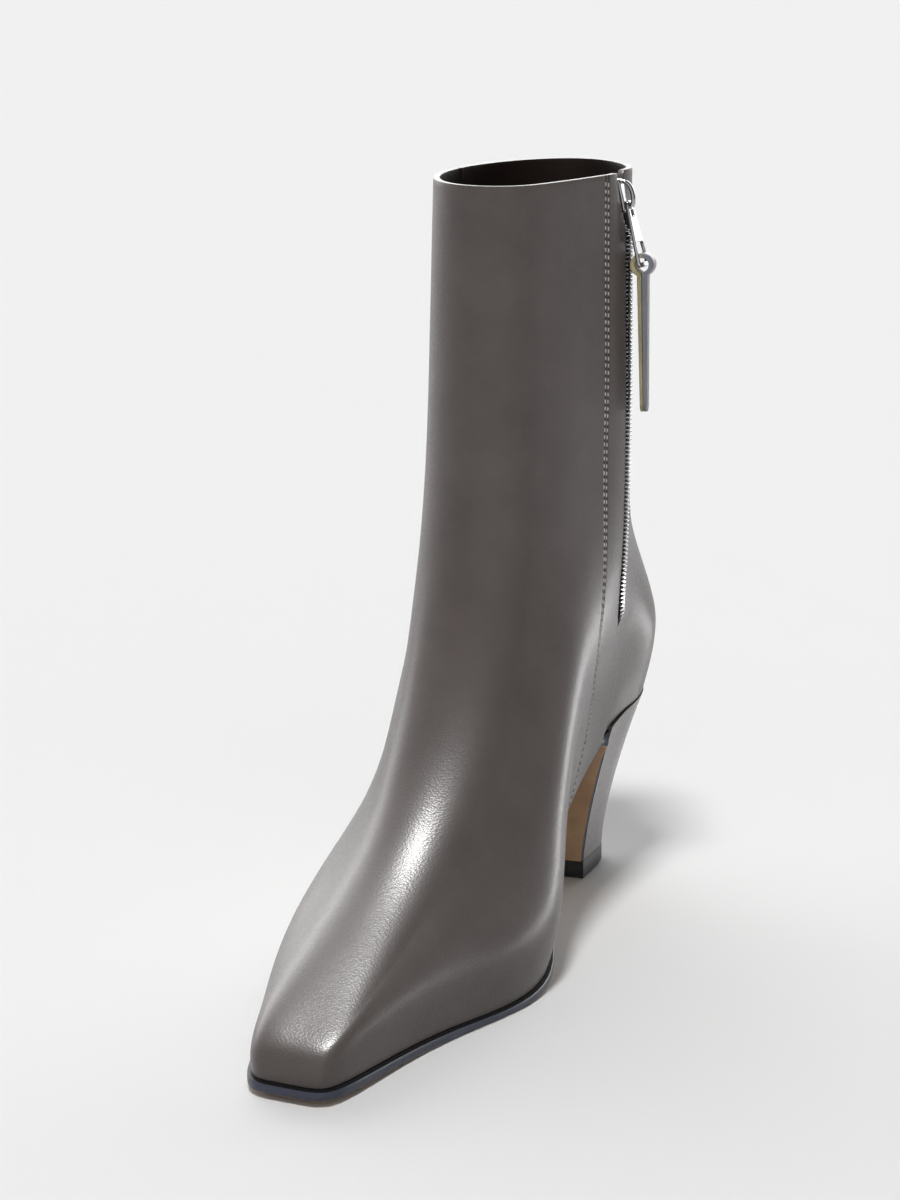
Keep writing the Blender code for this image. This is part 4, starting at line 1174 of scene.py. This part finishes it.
def build_pull_strap():
    path, layers, halves = strap_path()
    along = unit(np.gradient(path, axis=0))
    grain_side = np.stack([-along[:, 1], along[:, 0]], -1)
    ring_shape = [*STRAP_PROFILE, *((a, -b) for a, b in STRAP_PROFILE[::-1])]

    # Slots round the section: 0 leather, 1 raw, 2 dyed
    raw_layer = [1, 1, 1, 1, 0, 1, 1, 1, 1, 1]
    dyed_layer = [2, 2, 2, 2, 0, 2, 2, 2, 2, 1]
    rings = []
    for middle, side, layer, half in zip(path, grain_side, layers, halves):
        rings.append([(*(middle + side * a * layer), b * half) for a, b in ring_shape])
    folded = len(rings) // 2
    face_slots = raw_layer * folded + dyed_layer * (len(rings) - 1 - folded) + [1, 1]
    bar = LINK_LENGTH - LINK_FOOT_BAR / 2 - LINK_BAR / 2
    seat = Matrix.Translation((0.0, -bar * math.cos(LINK_LEAN), bar * math.sin(LINK_LEAN)))
    plumb = Matrix.Rotation(math.asin(HINGE_PLACE[2][2]) - STRAP_SWAY, 4, "X")
    place = HINGE_PLACE @ seat @ plumb @ Matrix.Rotation(STRAP_TWIST - math.pi / 2, 4, "Y")
    materials = [STRAP_LEATHER, RAW_EDGE, STRAP_EDGE]
    strap = add_mesh("pull_strap_folded", tube_along(rings), materials, face_slots, 45, place)
    dress(strap, "zip_pull", "upper_leather", "pull_strap")


# Studio
CAMERA_PLACE = Vector((0.3504, -0.9477, 0.3348))
CAMERA_AIM = Vector((0.001, 0.0, 0.112))
LENS = 103.0
FLOOR_REACH = 40.0

# The key light, which gives no gloss, and the gloss light, which gives nothing else: the way to each, its
# level and its angle across in degrees
SUNS = {
    "key": ((0.02, -0.31, 0.95), 2.0, 9),
    "gloss": ((-0.13, 0.22, 0.96), 8.5, 14),
}

# Soft lights round the boot: the way to each one's middle, the cosines from that way at which it begins and
# is full, and its level
LOBES = {
    "wall_behind": ((-0.34, 0.94, 0.0), 0.55, 0.85, 3.0),
    "front": ((0.34, -0.94, -0.1), 0.30, 0.95, 0.9),
    "left": ((-0.85, 0.45, 0.15), 0.40, 0.95, 0.8),
    "overhead": ((-0.13, 0.22, 0.96), 0.60, 0.92, 0.1),
}
DIM_LEVEL = 0.02

# A low light panel beside the heel, which only shows in reflections
PANEL_PLACE = Vector((0.235, 0.275, 0.018))
PANEL_TARGET = Vector((0.030, 0.090, 0.060))
PANEL_WIDTH = 0.26
PANEL_HEIGHT = 0.034
PANEL_POWER = 0.35


def build_floor():
    corners = [(x * FLOOR_REACH, y * FLOOR_REACH, 0) for x, y in ((-1, -1), (1, -1), (1, 1), (-1, 1))]
    mesh = bpy.data.meshes.new("studio_floor")
    mesh.from_pydata(corners, [], [(0, 1, 2, 3)])
    mesh.materials.append(new_material("pale_floor", (0.75, 0.75, 0.75), 0.9, Specular_IOR_Level=0.0))
    put("studio_floor", mesh)


def build_world():
    """Dim surroundings with the soft lights of the table."""
    world = bpy.data.worlds.new("studio")
    bpy.context.scene.world = world
    world.use_nodes = True
    tree = world.node_tree
    background = tree.nodes["Background"]
    background.inputs["Color"].default_value = (1.0, 1.0, 1.0, 1.0)
    direction = tree.nodes.new("ShaderNodeTexCoord").outputs["Generated"]
    total = None
    for towards, start, full, level in LOBES.values():
        nearness = tree.nodes.new("ShaderNodeVectorMath")
        nearness.operation = "DOT_PRODUCT"
        nearness.inputs[1].default_value = Vector(towards).normalized()
        tree.links.new(direction, nearness.inputs[0])
        lobe = spread(tree, nearness.outputs["Value"], 0.0, level, start, full, "SMOOTHSTEP")
        addition = tree.nodes.new("ShaderNodeMath")
        addition.operation = "ADD"
        addition.inputs[0].default_value = DIM_LEVEL
        if total is not None:
            tree.links.new(total, addition.inputs[0])
        tree.links.new(lobe, addition.inputs[1])
        total = addition.outputs["Value"]
    tree.links.new(total, background.inputs["Strength"])


def build_light():
    for name, (towards, level, angle) in SUNS.items():
        sun = bpy.data.lights.new(name, "SUN")
        sun.energy = level
        sun.angle = math.radians(angle)
        lamp = put(name, sun)
        lamp.rotation_euler = Vector(towards).to_track_quat("Z", "Y").to_euler()
        lamp.visible_diffuse = name == "key"
        lamp.visible_glossy = name == "gloss"
    area = bpy.data.lights.new("low_panel", "AREA")
    area.shape = "RECTANGLE"
    area.size = PANEL_WIDTH
    area.size_y = PANEL_HEIGHT
    area.energy = PANEL_POWER
    panel = put("low_panel", area)
    panel.location = PANEL_PLACE
    panel.rotation_euler = (PANEL_TARGET - PANEL_PLACE).to_track_quat("-Z", "Y").to_euler()
    panel.visible_camera = False
    panel.visible_diffuse = False


def build_camera():
    lens = bpy.data.cameras.new("photo_camera")
    lens.lens = LENS
    lens.sensor_width = 36.0
    lens.clip_end = 200.0
    camera = put("photo_camera", lens)
    camera.location = CAMERA_PLACE
    camera.rotation_euler = (CAMERA_AIM - CAMERA_PLACE).to_track_quat("-Z", "Y").to_euler()
    bpy.context.scene.camera = camera
    bpy.context.scene.view_settings.view_transform = "Standard"


build_camera()
build_upper()
build_stitches()
build_outsole()
build_insole()
build_heel()
build_top_piece()
build_zip_tape()
build_zip_teeth()
build_zip_slider()
build_zip_link()
build_pull_strap()
build_floor()
build_world()
build_light()
